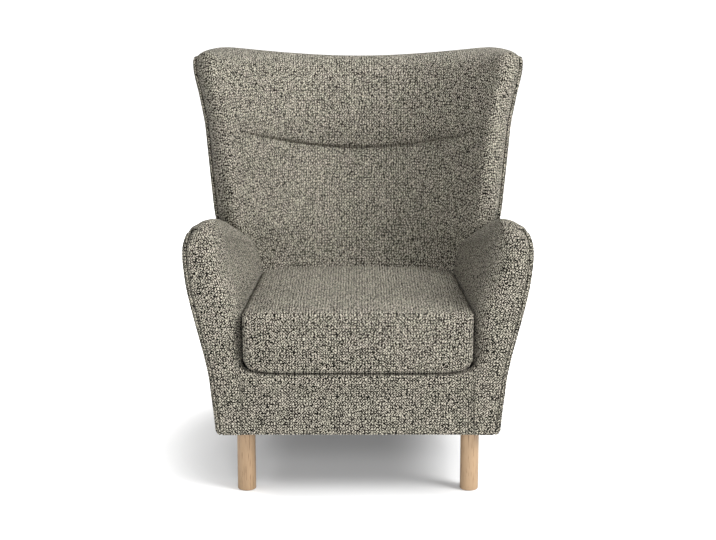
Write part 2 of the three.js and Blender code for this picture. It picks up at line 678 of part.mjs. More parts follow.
const cushionAcross = both([0, 0.3, 0.55, 0.74, 0.86, 0.94, 0.98, 1]);
const cushionDeep = [0, 0.01, 0.03, 0.07, 0.13, 0.26, 0.42, 0.6, 0.76, 0.88, 0.95, 0.985, 1];
const cushionUp = [0, 0.05, 0.16, 0.34, 0.5, 0.66, 0.84, 0.95, 1];
const coreAcross = both([0, 0.5, 0.86, 1]);
const coreDeep = [0, 0.07, 0.3, 0.6, 0.88, 1];
const coreUp = [0, 0.16, 0.5, 0.84, 1];
const slitZ = (deckTop + cushionTop) / 2;
const slit = box(
  [-slitHalf, innerY(deckTop) - cushionEdge * 2.4, slitZ - slitHeight / 2],
  [slitHalf, innerY(deckTop) + cushionEdge, slitZ + slitHeight / 2],
);
const coverHollow = cushion(coverThick, coreAcross, coreUp, coreDeep);
add("seat_cushion_cover", cut(cushion(0, cushionAcross, cushionUp, cushionDeep), coverHollow, slit), cloth);
add("seat_cushion_core", cushion(coverThick + clearance, coreAcross, coreUp, coreDeep), foam);

// Wooden base
const frontRailFace = -chairFront + frontRailSet;
const stumpFront = -chairFront + armFrontPad + clearance;
const stumpRear = stumpFront + stumpThick;
const sideFront = Math.max(stumpRear, frontRailFace) + clearance;
const frontRailHalf = armInner(stumpRear, baseHeight) + armPad;
add("front_rail", box([-frontRailHalf, frontRailFace, frameFoot], [frontRailHalf, frontRailFace + railThick, railTop]), wood);
const sideRailFront = Math.max(sideFront, frontRailFace + railThick);
add("side_rail_right", box([sideRailIn, sideRailFront, frameFoot], [sideRailIn + railThick, sideRailRear, railTop]), wood);
add("side_rail_left", box([-sideRailIn - railThick, sideRailFront, frameFoot], [-sideRailIn, sideRailRear, railTop]), wood);
const rearRailFront = rearRailRear - railThick;
add("base_rear_rail", box([-postIn, rearRailFront, frameFoot], [postIn, rearRailRear, railTop]), wood);
add("seat_rear_rail", box([-sideRailIn, seatRailRear - railThick, railTop - seatRailDeep], [sideRailIn, seatRailRear, railTop]), wood);

const legPlaces = [
  ["front_right", legX, -chairFront + legFrontSet],
  ["front_left", -legX, -chairFront + legFrontSet],
  ["rear_right", legX, legRearY],
  ["rear_left", -legX, legRearY],
];

for (const [place, x, y] of legPlaces) {
  const front = y < 0;
  const yLow = front ? frontRailFace + railThick : rearRailFront - blockSize;
  const xLow = x > 0 ? sideRailIn - blockSize : -sideRailIn;
  const bore = turned([[0, baseHeight], [boltRadius + boreGap, baseHeight], [boltRadius + boreGap, railTop], [0, railTop]], 12, x, y);
  const corner = box([xLow, yLow, frameFoot], [xLow + blockSize, yLow + blockSize, blockTop]);
  add("corner_block_" + place, cut(corner, bore), wood);

  const legFoot = glideThick;
  const legBody = turned(
    [[0, legFoot], [legFootRadius - 1, legFoot], [legFootRadius, legFoot + 1], [legRadius, frameFoot], [0, frameFoot]],
    24, x, y,
  );
  const socketFoot = frameFoot - boltDown;
  const socket = turned(
    [[0, socketFoot - boreGap], [boltRadius + boreGap, socketFoot - boreGap], [boltRadius + boreGap, frameFoot + 1], [0, frameFoot + 1]],
    12, x, y,
  );
  add("leg_" + place, cut(legBody, socket), legWood);
  const boltTop = frameFoot + boltUp;
  add("leg_bolt_" + place, turned([[0, socketFoot], [boltRadius, socketFoot], [boltRadius, boltTop], [0, boltTop]], 10, x, y), steel);
  const hole = boltRadius + boreGap;
  add("leg_nut_" + place, turned(
    [[hole, blockTop], [nutRadius, blockTop], [nutRadius, blockTop + nutFlange], [hole, blockTop + nutFlange], [hole, blockTop]],
    10, x, y,
  ), steel);
  add("glide_" + place, turned([[0, 0], [glideRadius, 0], [glideRadius, glideThick], [0, glideThick]], 20, x, y), plastic);
}

// Dust cover under the frame, from panel to panel, with holes round the legs
function dustCover() {
  const gap = clearance * 4;
  const front = -chairFront + borderThick + clearance * 2;
  const ends = [0, 0.2, 0.4, 0.6, 0.8, 1].map((t) => mix(front, armRear - weltRadius * 2 - gap, t));
  const side = ends.map((y) => [armOuter(y, baseHeight) - panelThick - gap, y]);
  const cornerHalf = outerHalf(baseHeight) - panelThick - gap;
  const rear = [0.97, 0.88, 0.75, 0.55, 0.3].map((t) => [cornerHalf * t, panelY(cornerHalf * t, baseHeight) - gap]);
  rear.unshift([cornerHalf, armRear - weltRadius * 2 - gap]);
  const right = [...side, ...rear];
  const outline = [...right, ...right.map(([x, y]) => [-x, y]).reverse()];
  const sheet = new THREE.Shape(outline.map(([x, y]) => new THREE.Vector2(x, y)));
  legPlaces.forEach(([, x, y]) => sheet.holes.push(new THREE.Path().absarc(x, y, legRadius + 1, 0, Math.PI * 2, true)));
  const geometry = new THREE.ExtrudeGeometry(sheet, { depth: dustThick, bevelEnabled: false, curveSegments: 10 });
  return geometry.translate(0, 0, baseHeight + dustSet);
}
add("dust_cover", dustCover(), web);

// Seat springs from the front rail to the seat rear rail
const springFront = frontRailFace + springEnd;
const springRear = seatRailRear - springEnd;
[-2, -1, 0, 1, 2].forEach((place, number) => {
  const turns = 9;
  const centre = place * springPitch;
  const path = [];
  for (let i = 0; i <= turns; i += 1) {
    const y = mix(springFront, springRear, i / turns);
    const side = i % 2 === 0 ? 1 : -1;
    path.push([centre - side * springWave, y, railTop + springRise]);
    path.push([centre + side * springWave, y, railTop + springRise]);
  }
  add("seat_spring_" + (number + 1), cord(path, wireRadius, 46, 4), steel);
});

// Seat deck over the springs
const deckLow = deckTop - deckThick;
function seatDeck() {
  const front = -chairFront + borderThick + clearance;
  const at = (u, v, s) => {
    const half = armInner(mix(front, innerY(padFoot), s), deckTop) - clearance * 2;
    const x = half * u;
    const out = Math.abs(x) / innerHalf(padFoot);
    const near = innerY(padFoot) - wing(padFoot) * Math.min(out, 1) ** innerPower;
    const rear = near - deckGap - wingBulge * 0.8 * ease((out - 0.8) / 0.2);
    return [x, mix(front, rear, s), mix(deckLow, deckTop, v)];
  };
  return block(at, both([0, 0.25, 0.5, 0.68, 0.78, 0.86, 0.93, 1]), [0, 1], [0, 1]);
}
add("seat_deck", seatDeck(), web);

// Rear face of the inside back upholstery over a place across the chair
function padRearY(x, z) {
  let low = 0;
  let high = 1;
  const at = (u) => {
    const [ax, ay] = innerPoint(u, z, 0);
    const [bx, by] = outerPoint(u, z, 0);
    const s = backPad / Math.hypot(bx - ax, by - ay);
    return [mix(ax, bx, s), mix(ay, by, s) + crown(ax, z)];
  };
  for (let i = 0; i < 40; i += 1) {
    const u = (low + high) / 2;
    if (at(u)[0] < Math.abs(x)) low = u;
    else high = u;
  }
  return at((low + high) / 2)[1];
}

// Back posts, standing on the rear corner blocks
const postY = (z) => postFootY + (postRake * (z - blockTop)) / (postTop - blockTop);
function post() {
  const at = (u, v, s) => {
    const z = mix(blockTop, postTop, v);
    return [mix(postIn, postIn + postWide, u), postY(z) + postDeep * s, z];
  };
  return block(at, [0, 1], [0, 1], [0, 1]);
}
const nutRoom = turned(
  [[0, blockTop - 1], [nutRadius + 1, blockTop - 1], [nutRadius + 1, blockTop + nutFlange + boltUp], [0, blockTop + nutFlange + boltUp]],
  16, legX, legRearY,
);
addPair("back_post", cut(post(), nutRoom), wood);

// Shaped boards across the back, between the posts
const padSlack = 4.2; // room for the webbing and for the chords of the curved faces
function rib(z0) {
  const at = (u, v, s) => {
    const z = z0 + ribThick * v;
    const x = postIn * u;
    const front = Math.max(padRearY(x, z0), padRearY(x, z0 + ribThick)) + padSlack;
    const rear = Math.min(panelY(x, z0), panelY(x, z0 + ribThick)) - padSlack * 2;
    return [x, mix(front, rear, s), z];
  };
  const edges = [strapWide / 2, strapPitch - strapWide / 2, strapPitch + strapWide / 2];
  return block(at, both([0, ...edges.map((x) => x / postIn), 1]), [0, 1], [0, 1]);
}
add("back_low_rail", rib(ribLow), wood);
add("back_mid_rail", rib(ribMid), wood);
add("back_top_rail", rib(ribTop), wood);

// Upright webbing straps on the fronts of the back boards
[-1, 0, 1].forEach((place, number) => {
  const at = (u, v, s) => {
    const z = mix(ribLow, ribTop + ribThick, v);
    const x = place * strapPitch + (u - 0.5) * strapWide;
    return [x, padRearY(x, z) + padSlack - clearance - strapThick * (1 - s), z];
  };
  const levels = [ribLow, ribLow + ribThick, mix(ribLow, ribMid, 0.5), ribMid, ribMid + ribThick];
  const upper = [mix(ribMid, ribTop, 0.35), mix(ribMid, ribTop, 0.7), ribTop, ribTop + ribThick];
  const rows = [...levels, ...upper].map((z) => (z - ribLow) / (ribTop + ribThick - ribLow));
  add("back_strap_" + (number + 1), block(at, [0, 1], rows, [0, 1]), web);
});

// Wing boards behind the wing upholstery
function wingFrame() {
  const low = mix(baseHeight, backHeight, wingFootShare);
  const at = (u, v, s) => {
    const across = mix(0.8, 0.9, u);
    const z = mix(low, topEdge(innerHalf(backHeight)) - backRim - backArch - postWide * 0.5, v);
    const [ax, ay] = innerPoint(across, z, 0);
    const [bx, by] = outerPoint(across, z, 0);
    const t = (backPad + wingGap + wingBoard * s) / Math.hypot(bx - ax, by - ay);
    return [mix(ax, bx, t), mix(ay, by, t) + crown(ax, z), z];
  };
  return block(at, steps(2), steps(6), [0, 1]);
}
addPair("wing_frame", wingFrame(), wood);

// Arm frame: front stump, top rail and side board
const frameSlack = 3; // room for the chords of the curved faces
const armIn = (y, z) => armInner(y, z) + armPad + frameSlack;
const armOut = (y, z) => armOuter(y, z) - panelThick - frameSlack;
const armCeiling = (y) => armRoof(y) - clearance;

function stump() {
  const at = (u, v, s) => {
    const y = mix(stumpFront, stumpRear, u);
    const z = mix(frameFoot, armCeiling(y), v);
    return [mix(armIn(y, z), armOut(y, z), s), y, z];
  };
  return block(at, [0, 1], steps(6), [0, 1]);
}
addPair("arm_stump", stump(), wood);

function armRail() {
  const at = (u, v, s) => {
    const y = mix(stumpRear + clearance, armFrameRear, u);
    const z = armCeiling(y) - armRailThick * (1 - v);
    return [mix(armIn(y, z), armOut(y, z), s), y, z];
  };
  return block(at, steps(4), [0, 1], [0, 1]);
}
addPair("arm_rail", armRail(), wood);

function armSide() {
  const at = (u, v, s) => {
    const y = mix(stumpRear + clearance, armFrameRear, u);
    const z = mix(railTop, armCeiling(y) - armRailThick - clearance, v);
    return [armIn(y, z) + armBoard * s, y, z];
  };
  return block(at, steps(4), steps(4), [0, 1]);
}
addPair("arm_board", armSide(), wood);

export default chair;
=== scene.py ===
import math

import bpy
import mathutils
import numpy as np
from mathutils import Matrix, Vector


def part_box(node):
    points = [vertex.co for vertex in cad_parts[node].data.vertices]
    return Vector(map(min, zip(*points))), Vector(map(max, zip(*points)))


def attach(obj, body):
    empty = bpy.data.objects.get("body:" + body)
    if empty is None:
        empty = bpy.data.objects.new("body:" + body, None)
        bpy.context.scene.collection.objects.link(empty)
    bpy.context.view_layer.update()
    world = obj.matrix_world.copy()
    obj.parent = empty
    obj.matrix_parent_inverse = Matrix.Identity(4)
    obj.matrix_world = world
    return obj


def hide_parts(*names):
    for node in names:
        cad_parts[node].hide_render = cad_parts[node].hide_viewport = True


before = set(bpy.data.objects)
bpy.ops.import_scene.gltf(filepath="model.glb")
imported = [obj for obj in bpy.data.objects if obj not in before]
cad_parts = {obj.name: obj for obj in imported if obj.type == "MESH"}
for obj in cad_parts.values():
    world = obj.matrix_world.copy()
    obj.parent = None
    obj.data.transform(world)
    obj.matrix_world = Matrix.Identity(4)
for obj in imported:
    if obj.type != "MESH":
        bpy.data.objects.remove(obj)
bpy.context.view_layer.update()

MM = 0.001

# Overall sizes
CHAIR_FRONT = 430
DEPTH_SHIFT = 25.8
BASE_HEIGHT = 162
BACK_HEIGHT = 1046
BACK_HALF_WIDTH = 434.5
CLEARANCE = 0.4

# Back
BACK_FACE = 62
BACK_LEAN = 216
REAR_FACE = 285
REAR_LEAN = 110
WING_REACH = 217
WING_EDGE = 76
WING_EDGE_SET = 37
WING_BULGE = 39
BACK_ARCH = 34
ARCH_SPLIT_SHARE = 0.45
REAR_ARCH = 20
EDGE_ARCH = 4
TOP_CORNER = 14
CHANNEL_HEIGHT = 769
CHANNEL_RISE = 64
CHANNEL_HALF = 300
CHANNEL_END = 318
CHANNEL_DEPTH = 5
CHANNEL_WIDE = 7
CHANNEL_NARROW = 2
CHANNEL_STITCH = 5
CHANNEL_FADE_POWER = 8
HEAD_CROWN = 22
HEAD_CROWN_POWER = 0.74
BACK_CROWN = 7
CROWN_REACH_SHARE = 1.2
CROWN_EDGE_POWER = 6
PAD_WALL = 15
REAR_LAP_SHARE = 0.9
TOP_LAP_SHARE = 0.985

# Arms
ARM_HEIGHT = 700
ARM_REAR_DROP = 128
ARM_INNER_HALF = 284
ARM_INNER_FLARE = 48
ARM_REAR_IN = 37
ARM_REAR_FLARE = 21
ARM_OUTER_HALF = 347
ARM_OUTER_FLARE = 72
ARM_SIDE_STEP = 16
ARM_INNER_ARCH = 40
ARM_REAR_ARCH = 76
ARM_OUTER_ARCH = 30
ARM_REAR = 205
ARM_CORNER_IN = 60
ARM_CORNER_SHARE = 0.85
ARM_CORNER_OUT = 6
ARM_BROW = 60
ARM_WALL = 14
ARM_FILL = 8
ARM_FILL_RISE = 3
ARM_FILL_RUN = 7
ARM_FILL_START = 0.3
ARM_FRONT_LAP_SHARE = 0.04
ARM_TOP_LAP_SHARE = 0.93
ARM_FOOT_ROUND = 14
ARM_OPEN_LOW = 328
ARM_OPEN_HIGH = 372

# Panels and welts
PANEL_THICK = 8
PANEL_CROWN = 3
PANEL_EDGE_POWER = 4
PANEL_SEAT_SHARE = 0.01
WELT_RADIUS = 4
WELT_SET = 10
ARM_WELT_DROP = 30
WELT_BEND = 14
WELT_BEND_SHARE = 0.3
WELT_BROW_SHARE = 0.85
WELT_TUCK = 1.5
WELT_TUCK_SHARE = 0.07
WELT_IN = 2.5
WELT_FORWARD = 2.5
ARM_WELT_IN = 3.5
BACK_WELT_RUN = (0.97, 0.03)
BACK_WELT_KNOTS = (22, 34)
ARM_WELT_TURN = (0.15, 0.3, 0.43, 0.55, 0.66, 0.75, 0.83, 0.9)
ARM_WELT_KNOTS = (24, 28, 20)

# Seat
DECK_TOP = 320
DECK_THICK = 25
DECK_GAP = 4
DECK_CROWN = 2
DECK_CROWN_POWER = 6
DECK_TURN_START = 0.8
DECK_BULGE_SHARE = 0.8
DECK_ROWS = 41
PAD_FOOT = 298
CUSHION_TOP = 468
CUSHION_CROWN = 4
CUSHION_WIDE_POWER = 2.2
CUSHION_DEEP_POWER = 2.6
CUSHION_SIDE = 5.2
SIDE_GAP_RUN = 520
CUSHION_REAR_GAP = 2
CUSHION_ROLL = 30
CUSHION_FRONT_ROLL = 15
CUSHION_SIDE_ROUND = 9
CUSHION_FOOT_ROUND = 10
CUSHION_CORNER_ROUND = 12
CUSHION_CORNER_LIFT = 14
CORNER_LIFT_RUN = 18
CORNER_LIFT_POWER = 1.5
CUSHION_FOOT_RISE = 14
FOOT_RISE_RUN = 110
FOOT_RISE_POWER = 3
FOOT_RISE_DEPTH = 60
CUSHION_FRONT_DIP = 5
FRONT_DIP_SET = 3
FRONT_DIP_RUN = 8
CUSHION_SET_BACK = 1
HELD_SIDE = 12
HELD_TOP = 16
HELD_FOOT = 12
HELD_FRONT = 14
SEAM_WIDE = 5
SEAM_DEPTH = 2.2
SEAM_SHARPNESS = 1.6
SEAM_START = 30
SEAM_RUN = 20
EDGE_SEAM_WIDE = 4
EDGE_SEAM_DEPTH = 2
EDGE_SEAM_REACH = 40
SWELL_LIMIT = 10
BORDER_THICK = 25
BORDER_LAP = 1
BORDER_RISE_SHARE = 0.8
BORDER_LIP_SHARE = 0.3
BORDER_LIP_START = 0.86
BORDER_LIP_DROP = 0.2

# Legs and underside
LEG_RADIUS = 22.8
LEG_FOOT_RADIUS = 22.8
LEG_FOOT = 1.5
LEG_BEVEL = 1.2
LEG_HOLE_GAP = 1
LEG_X = 277
LEG_FRONT_Y = -361
LEG_REAR_Y = 196
FRAME_FOOT = 166
GLIDE_THICK = 5
GLIDE_RADIUS = 15
GLIDE_BEVEL = 1
BOLT_RADIUS = 4
BOLT_DOWN = 42
BORE_GAP = 0.5
DUST_THICK = 1.2
DUST_SET = 2.2
DUST_LAP = 5
DUST_ROW_POWER = 1.6
DUST_GAP = CLEARANCE * 4
FLAT_STEPS = 61
STRAP_RIDGES = 12
RIDGE_STEPS = 6
STRAP_ROWS = 41
STRAP_RIDGE = 0.4
STRAP_THICK = 1.6

# Shapes along the height: pairs of share of the height and share of the size
LEAN_SHARES = [[0, 0], [0.156, 0.14], [0.331, 0.315], [0.517, 0.49], [0.686, 0.7], [0.957, 0.955], [1, 1]]
REAR_SHARES = [[0, 0], [0.331, 0.19], [0.517, 0.34], [0.75, 0.65], [1, 1]]
WING_SHARES = [[0, 0.1], [0.156, 0.2], [0.331, 0.38], [0.514, 0.84], [0.72, 1], [1, 1]]
WIDTH_SHARES = [
    [0, 0.736], [0.156, 0.768], [0.331, 0.815], [0.494, 0.864], [0.53, 0.876], [0.596, 0.889],
    [0.709, 0.912], [0.788, 0.93], [0.839, 0.951], [0.878, 0.968], [0.912, 0.986], [0.946, 0.999], [1, 1.004],
]
SIDE_SET_SHARES = [[0, 4.1], [0.331, 4.1], [0.43, 4.1], [0.505, 1], [1, 1]]
ARM_OUTER_SHARES = [
    [0, 0], [0.093, 0.06], [0.185, 0.14], [0.259, 0.2], [0.352, 0.33], [0.463, 0.53], [0.574, 0.73], [0.685, 0.9],
    [0.759, 0.97], [0.815, 1], [0.86, 0.995], [0.885, 0.965], [0.905, 0.92], [0.922, 0.86], [0.934, 0.79], [1, 0.4],
]
ARM_INNER_SHARES = [[0, 0], [0.509, 0], [0.583, 0.1], [0.703, 0.55], [0.796, 0.85], [0.926, 1], [1, 1]]
ARM_PEAK_SHARES = (0.27, 0.93)
WING_TURN_SHARE = 0.86
INNER_POWER = 2.3
OUTER_POWER = 3.5
INNER_ARCH_POWER = 1.35
OUTER_ARCH_POWER = 2.6
TAPER_POWER = 4

# Top edge of the back: pairs of distance from the middle and height against BACK_HEIGHT
TOP_DROPS = [
    [0, -35], [50, -34.4], [100, -32.5], [200, -25.2], [300, -13.2], [345, -6], [375, -2.2], [394, -1.4],
    [406, -2.2], [415, -3.6], [423, -6.4], [430, -10.5], [BACK_HALF_WIDTH, -TOP_CORNER],
]

# The mirrored arm shows another place of the cloth
MIRROR_OFFSET = 0.531

CHAIR_BODY = "chair"
CUSHION_BODY = "cushion"


# Numbers along the shapes
def curve(values, slopes, i, t, run=1):
    start = (2 * t**3 - 3 * t**2 + 1) * values[i] + (t**3 - 2 * t**2 + t) * run * slopes[i]
    return start + (3 * t**2 - 2 * t**3) * values[i + 1] + (t**3 - t**2) * run * slopes[i + 1]


def along(table, t):
    xs, ys = np.array(table, float).T
    slopes = np.diff(ys) / np.diff(xs)
    product = slopes[:-1] * slopes[1:]
    total = np.where(product > 0, slopes[:-1] + slopes[1:], 1)
    inner = np.where(product > 0, 2 * product / total, 0)
    tangents = np.concatenate([slopes[:1], inner, slopes[-1:]])
    t = np.clip(np.asarray(t, float), xs[0], xs[-1])
    i = np.clip(np.searchsorted(xs, t) - 1, 0, len(xs) - 2)
    run = xs[i + 1] - xs[i]
    return curve(ys, tangents, i, (t - xs[i]) / run, run)


def mix(a, b, t):
    return a + (b - a) * t


def clamp(t, lo=0.0, hi=1.0):
    return np.clip(t, lo, hi)


def ease(t):
    return clamp(t) ** 2 * (3 - 2 * clamp(t))


def dip(t, p):
    return 1 - (1 - clamp(np.abs(t)) ** p) ** (1 / p)


def round_off(away, radius):
    return radius - np.sqrt(radius**2 - clamp(radius * math.sqrt(0.5) - away, 0, radius) ** 2)


def both(half):
    return [-t for t in reversed(half[1:])] + list(half)


def refine(values, count):
    places = np.linspace(0, len(values) - 1, (len(values) - 1) * count + 1)
    return np.interp(places, np.arange(len(values)), values)


# Meshes from the six faces of a deformed box: at(u, v, s) gives the place of each point
def box_quads(nu, nv, ns):
    def key(i, j, k):
        return (i * (nv + 1) + j) * (ns + 1) + k

    square, flipped = ((0, 0), (1, 0), (1, 1), (0, 1)), ((0, 0), (0, 1), (1, 1), (1, 0))
    sides = [
        (nu, nv, ns, square, key),
        (nu, ns, nv, flipped, lambda a, b, c: key(a, c, b)),
        (nv, ns, nu, square, lambda a, b, c: key(c, a, b)),
    ]
    parts = []
    for wide, high, far, corners, place in sides:
        a, b = (g.ravel() for g in np.meshgrid(np.arange(wide), np.arange(high), indexing="ij"))
        for c, order in ((0, 1), (far, -1)):
            parts.append(np.stack([place(a + p, b + q, c) for p, q in corners], 1)[:, ::order])
    return parts


def grid_places(keys, vs, ss):
    return keys // len(ss) // len(vs), keys // len(ss) % len(vs), keys % len(ss)


# Places of the cloth's threads, in metres along the face
def cloth_grid(place, first, second):
    points = np.stack(np.broadcast_arrays(*place(*np.meshgrid(first, second, indexing="ij"))), -1)
    run = np.cumsum(np.pad(np.linalg.norm(np.diff(points, axis=0), axis=-1), ((1, 0), (0, 0))), 0)
    rise = np.cumsum(np.pad(np.linalg.norm(np.diff(points, axis=1), axis=-1), ((0, 0), (1, 0))), 1)
    return np.stack([run - run[len(first) // 2], rise], -1) * MM


def cloth_coordinates(at, us, vs, ss, parts):
    coordinates = []
    for part, end in zip(parts, (0, -1) * 3):
        i, j, k = grid_places(part, vs, ss)
        if len(coordinates) < 2:
            grid = cloth_grid(lambda a, b: at(a, b, np.full_like(a, ss[end])), us, vs)
            coordinates.append(grid[i, j])
        elif len(coordinates) < 4:
            grid = cloth_grid(lambda a, b: at(a, np.full_like(a, vs[end]), b), us, ss)
            coordinates.append(grid[i, k])
        else:
            grid = cloth_grid(lambda a, b: at(np.full_like(a, us[end]), b, a), ss, vs)
            coordinates.append(grid[k, j])
    return np.concatenate(coordinates)


def signed_volume(points, quads):
    a, b, c, d = (points[quads[:, n]] for n in range(4))
    return (np.einsum("ij,ij->i", a, np.cross(b, c)) + np.einsum("ij,ij->i", a, np.cross(c, d))).sum()


def block(name, at, us, vs, ss, keep=None):
    us, vs, ss = (np.asarray(x, float) for x in (us, vs, ss))
    parts = box_quads(len(us) - 1, len(vs) - 1, len(ss) - 1)
    cloth = cloth_coordinates(at, us, vs, ss, parts)
    keys, quads = np.unique(np.concatenate(parts), return_inverse=True)
    quads = quads.reshape(-1, 4)
    i, j, k = grid_places(keys, vs, ss)
    u, v, s = us[i], vs[j], ss[k]
    points = np.stack(np.broadcast_arrays(*at(u, v, s)), 1)
    if signed_volume(points, quads) < 0:
        quads, cloth = quads[:, ::-1], cloth[:, ::-1]
    if keep is not None:
        kept = keep(*[x[quads].mean(1) for x in (u, v, s)])
        quads, cloth = quads[kept], cloth[kept]
        used, quads = np.unique(quads, return_inverse=True)
        points, quads = points[used], quads.reshape(-1, 4)
    return make(name, points, quads, cloth)


def new_object(name, data):
    obj = bpy.data.objects.new(name, data)
    bpy.context.scene.collection.objects.link(obj)
    return obj


def make(name, points, faces, cloth=None):
    place = (np.asarray(points, float) + [0, DEPTH_SHIFT, 0]) * MM
    mesh = bpy.data.meshes.new(name)
    mesh.from_pydata(place.tolist(), [], [list(map(int, f)) for f in faces])
    mesh.update()
    if cloth is not None:
        layer = mesh.uv_layers.new(name="cloth")
        layer.data.foreach_set("uv", np.asarray(cloth, np.float32).ravel())
    mesh.shade_smooth()
    return new_object(name, mesh)


def apply_modifiers(obj):
    graph = bpy.context.evaluated_depsgraph_get()
    mesh = bpy.data.meshes.new_from_object(obj.evaluated_get(graph))
    obj.modifiers.clear()
    obj.data = mesh
    return obj


def thicken(obj, wall):
    made = obj.modifiers.new("wall", "SOLIDIFY")
    made.thickness = wall * MM
    made.offset = -1
    return apply_modifiers(obj)


def cut(obj, tool):
    made = obj.modifiers.new("cut", "BOOLEAN")
    made.operation = "DIFFERENCE"
    made.solver = "MANIFOLD"
    made.object = tool
    apply_modifiers(obj)
    bpy.data.objects.remove(tool)
    return obj


def read_points(obj):
    points = np.zeros(len(obj.data.vertices) * 3, np.float32)
    obj.data.vertices.foreach_get("co", points)
    return points.reshape(-1, 3).astype(float) / MM - [0, DEPTH_SHIFT, 0]


def write_points(obj, points):
    obj.data.vertices.foreach_set("co", ((points + [0, DEPTH_SHIFT, 0]) * MM).astype(np.float32).ravel())
    obj.data.update()


# The cover is blown up from inside as cloth, and each of its points follows the nearest ones of the cloth
VOXEL = 6
PRESSURE = 4
CLOTH_FRAMES = 20
CLOTH_QUALITY = 5
CARRIERS = 6
CARRY_SOFTNESS = 0.3


def swell(obj, held, limit):
    bag = new_object("bag", obj.data.copy())
    net = bag.modifiers.new("net", "REMESH")
    net.mode = "VOXEL"
    net.voxel_size = VOXEL * MM
    apply_modifiers(bag)
    start = read_points(bag)
    group = bag.vertex_groups.new(name="held")
    for n in np.flatnonzero(held(start) > 0):
        group.add([int(n)], 1.0, "REPLACE")
    cloth = bag.modifiers.new("cloth", "CLOTH")
    cloth.settings.quality = CLOTH_QUALITY
    cloth.settings.use_pressure = True
    cloth.settings.uniform_pressure_force = PRESSURE
    cloth.settings.effector_weights.gravity = 0
    cloth.settings.vertex_group_mass = "held"
    cloth.point_cache.frame_end = CLOTH_FRAMES
    for frame_number in range(1, CLOTH_FRAMES + 1):
        bpy.context.scene.frame_set(frame_number)
    apply_modifiers(bag)
    moved = read_points(bag) - start
    length = np.linalg.norm(moved, axis=1)[:, None]
    moved = moved * np.tanh(length / limit) * limit / np.maximum(length, 1e-6)
    tree = mathutils.kdtree.KDTree(len(start))
    for n, point in enumerate(start):
        tree.insert(point, n)
    tree.balance()
    points = read_points(obj)
    carried = np.zeros_like(points)
    for n, point in enumerate(points):
        near = tree.find_n(point, CARRIERS)
        weights = np.array([1 / (d + VOXEL * CARRY_SOFTNESS) ** 2 for _, _, d in near])
        carried[n] = weights @ moved[[m for _, m, _ in near]] / weights.sum()
    write_points(obj, points + carried)
    bpy.data.objects.remove(bag)
    bpy.context.scene.frame_set(1)


def mirrored(obj, name):
    mesh = obj.data.copy()
    mesh.name = name
    points = np.zeros(len(mesh.vertices) * 3, np.float32)
    mesh.vertices.foreach_get("co", points)
    points[::3] *= -1
    mesh.vertices.foreach_set("co", points)
    mesh.flip_normals()
    if mesh.uv_layers:
        cloth = np.zeros(len(mesh.loops) * 2, np.float32)
        mesh.uv_layers[0].data.foreach_get("uv", cloth)
        mesh.uv_layers[0].data.foreach_set("uv", cloth + MIRROR_OFFSET)
    return new_object(name, mesh)


def crease(obj, degrees=40):
    obj.data.set_sharp_from_angle(angle=math.radians(degrees))


def finish_piece(obj, material, slot, *nodes, body=CHAIR_BODY):
    obj.data.materials.clear()
    obj.data.materials.append(material)
    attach(obj, body)
    if nodes:
        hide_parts(*nodes)
    return obj


# Form of the back over its height
def share(z):
    return (z - BASE_HEIGHT) / (BACK_HEIGHT - BASE_HEIGHT)


def inner_y(z):
    return BACK_FACE + BACK_LEAN * along(LEAN_SHARES, share(z))


def outer_y(z):
    return REAR_FACE + REAR_LEAN * along(REAR_SHARES, share(z))


def outer_half(z):
    return BACK_HALF_WIDTH * along(WIDTH_SHARES, share(z))


def inner_half(z):
    return outer_half(z) - WING_EDGE


def wing(z):
    return WING_REACH * along(WING_SHARES, share(z))


def inner_wall(x, z):
    return inner_y(z) - wing(z) * np.abs(x / inner_half(z)) ** INNER_POWER


def side_y(z):
    return inner_y(z) - wing(z) + WING_EDGE_SET * along(SIDE_SET_SHARES, share(z))


def top_edge(x):
    return BACK_HEIGHT + along(TOP_DROPS, np.abs(x))


def wing_turn(u):
    return ease((np.abs(u) - WING_TURN_SHARE) / (1 - WING_TURN_SHARE))


def outer_arch(u):
    return mix(REAR_ARCH, EDGE_ARCH, wing_turn(u))


def channel_z(x):
    return CHANNEL_HEIGHT + CHANNEL_RISE * (x / CHANNEL_HALF) ** 2


# Fullness of the inside back, drawn in along the sewn head channel
def crown(x, z):
    guide = channel_z(x)
    low = clamp((z - PAD_FOOT) / (guide - PAD_FOOT))
    high = clamp((z - guide) / (top_edge(x) - guide))
    across = 1 - clamp(np.abs(x) / (CHANNEL_HALF * CROWN_REACH_SHARE)) ** CROWN_EDGE_POWER
    full = BACK_CROWN * np.sin(math.pi * low) + HEAD_CROWN * np.sin(math.pi * high**HEAD_CROWN_POWER)
    fade = clamp(1 - (np.abs(x) / CHANNEL_END) ** CHANNEL_FADE_POWER)
    wide = np.exp(-(((z - guide) / CHANNEL_WIDE) ** 2))
    thin = np.exp(-np.abs(z - guide) / CHANNEL_NARROW)
    return full * across - fade * (CHANNEL_DEPTH * wide + CHANNEL_STITCH * thin)


# Plan of the back at a height: inside face, outside face and the round edge of the wing between them
def inner_point(u, z, grow):
    half = inner_half(z)
    y = inner_y(z) - wing(z) * np.abs(u) ** INNER_POWER - crown(u * half, z)
    return u * half, y - grow


def outer_point(u, z, inset):
    turn = np.abs(u) * math.pi / 2
    half = outer_half(z) - inset
    rise = clamp(1 - np.sin(turn) ** OUTER_POWER) ** (1 / OUTER_POWER)
    return np.sign(u) * half * np.sin(turn), side_y(z) + (outer_y(z) - inset - side_y(z)) * rise


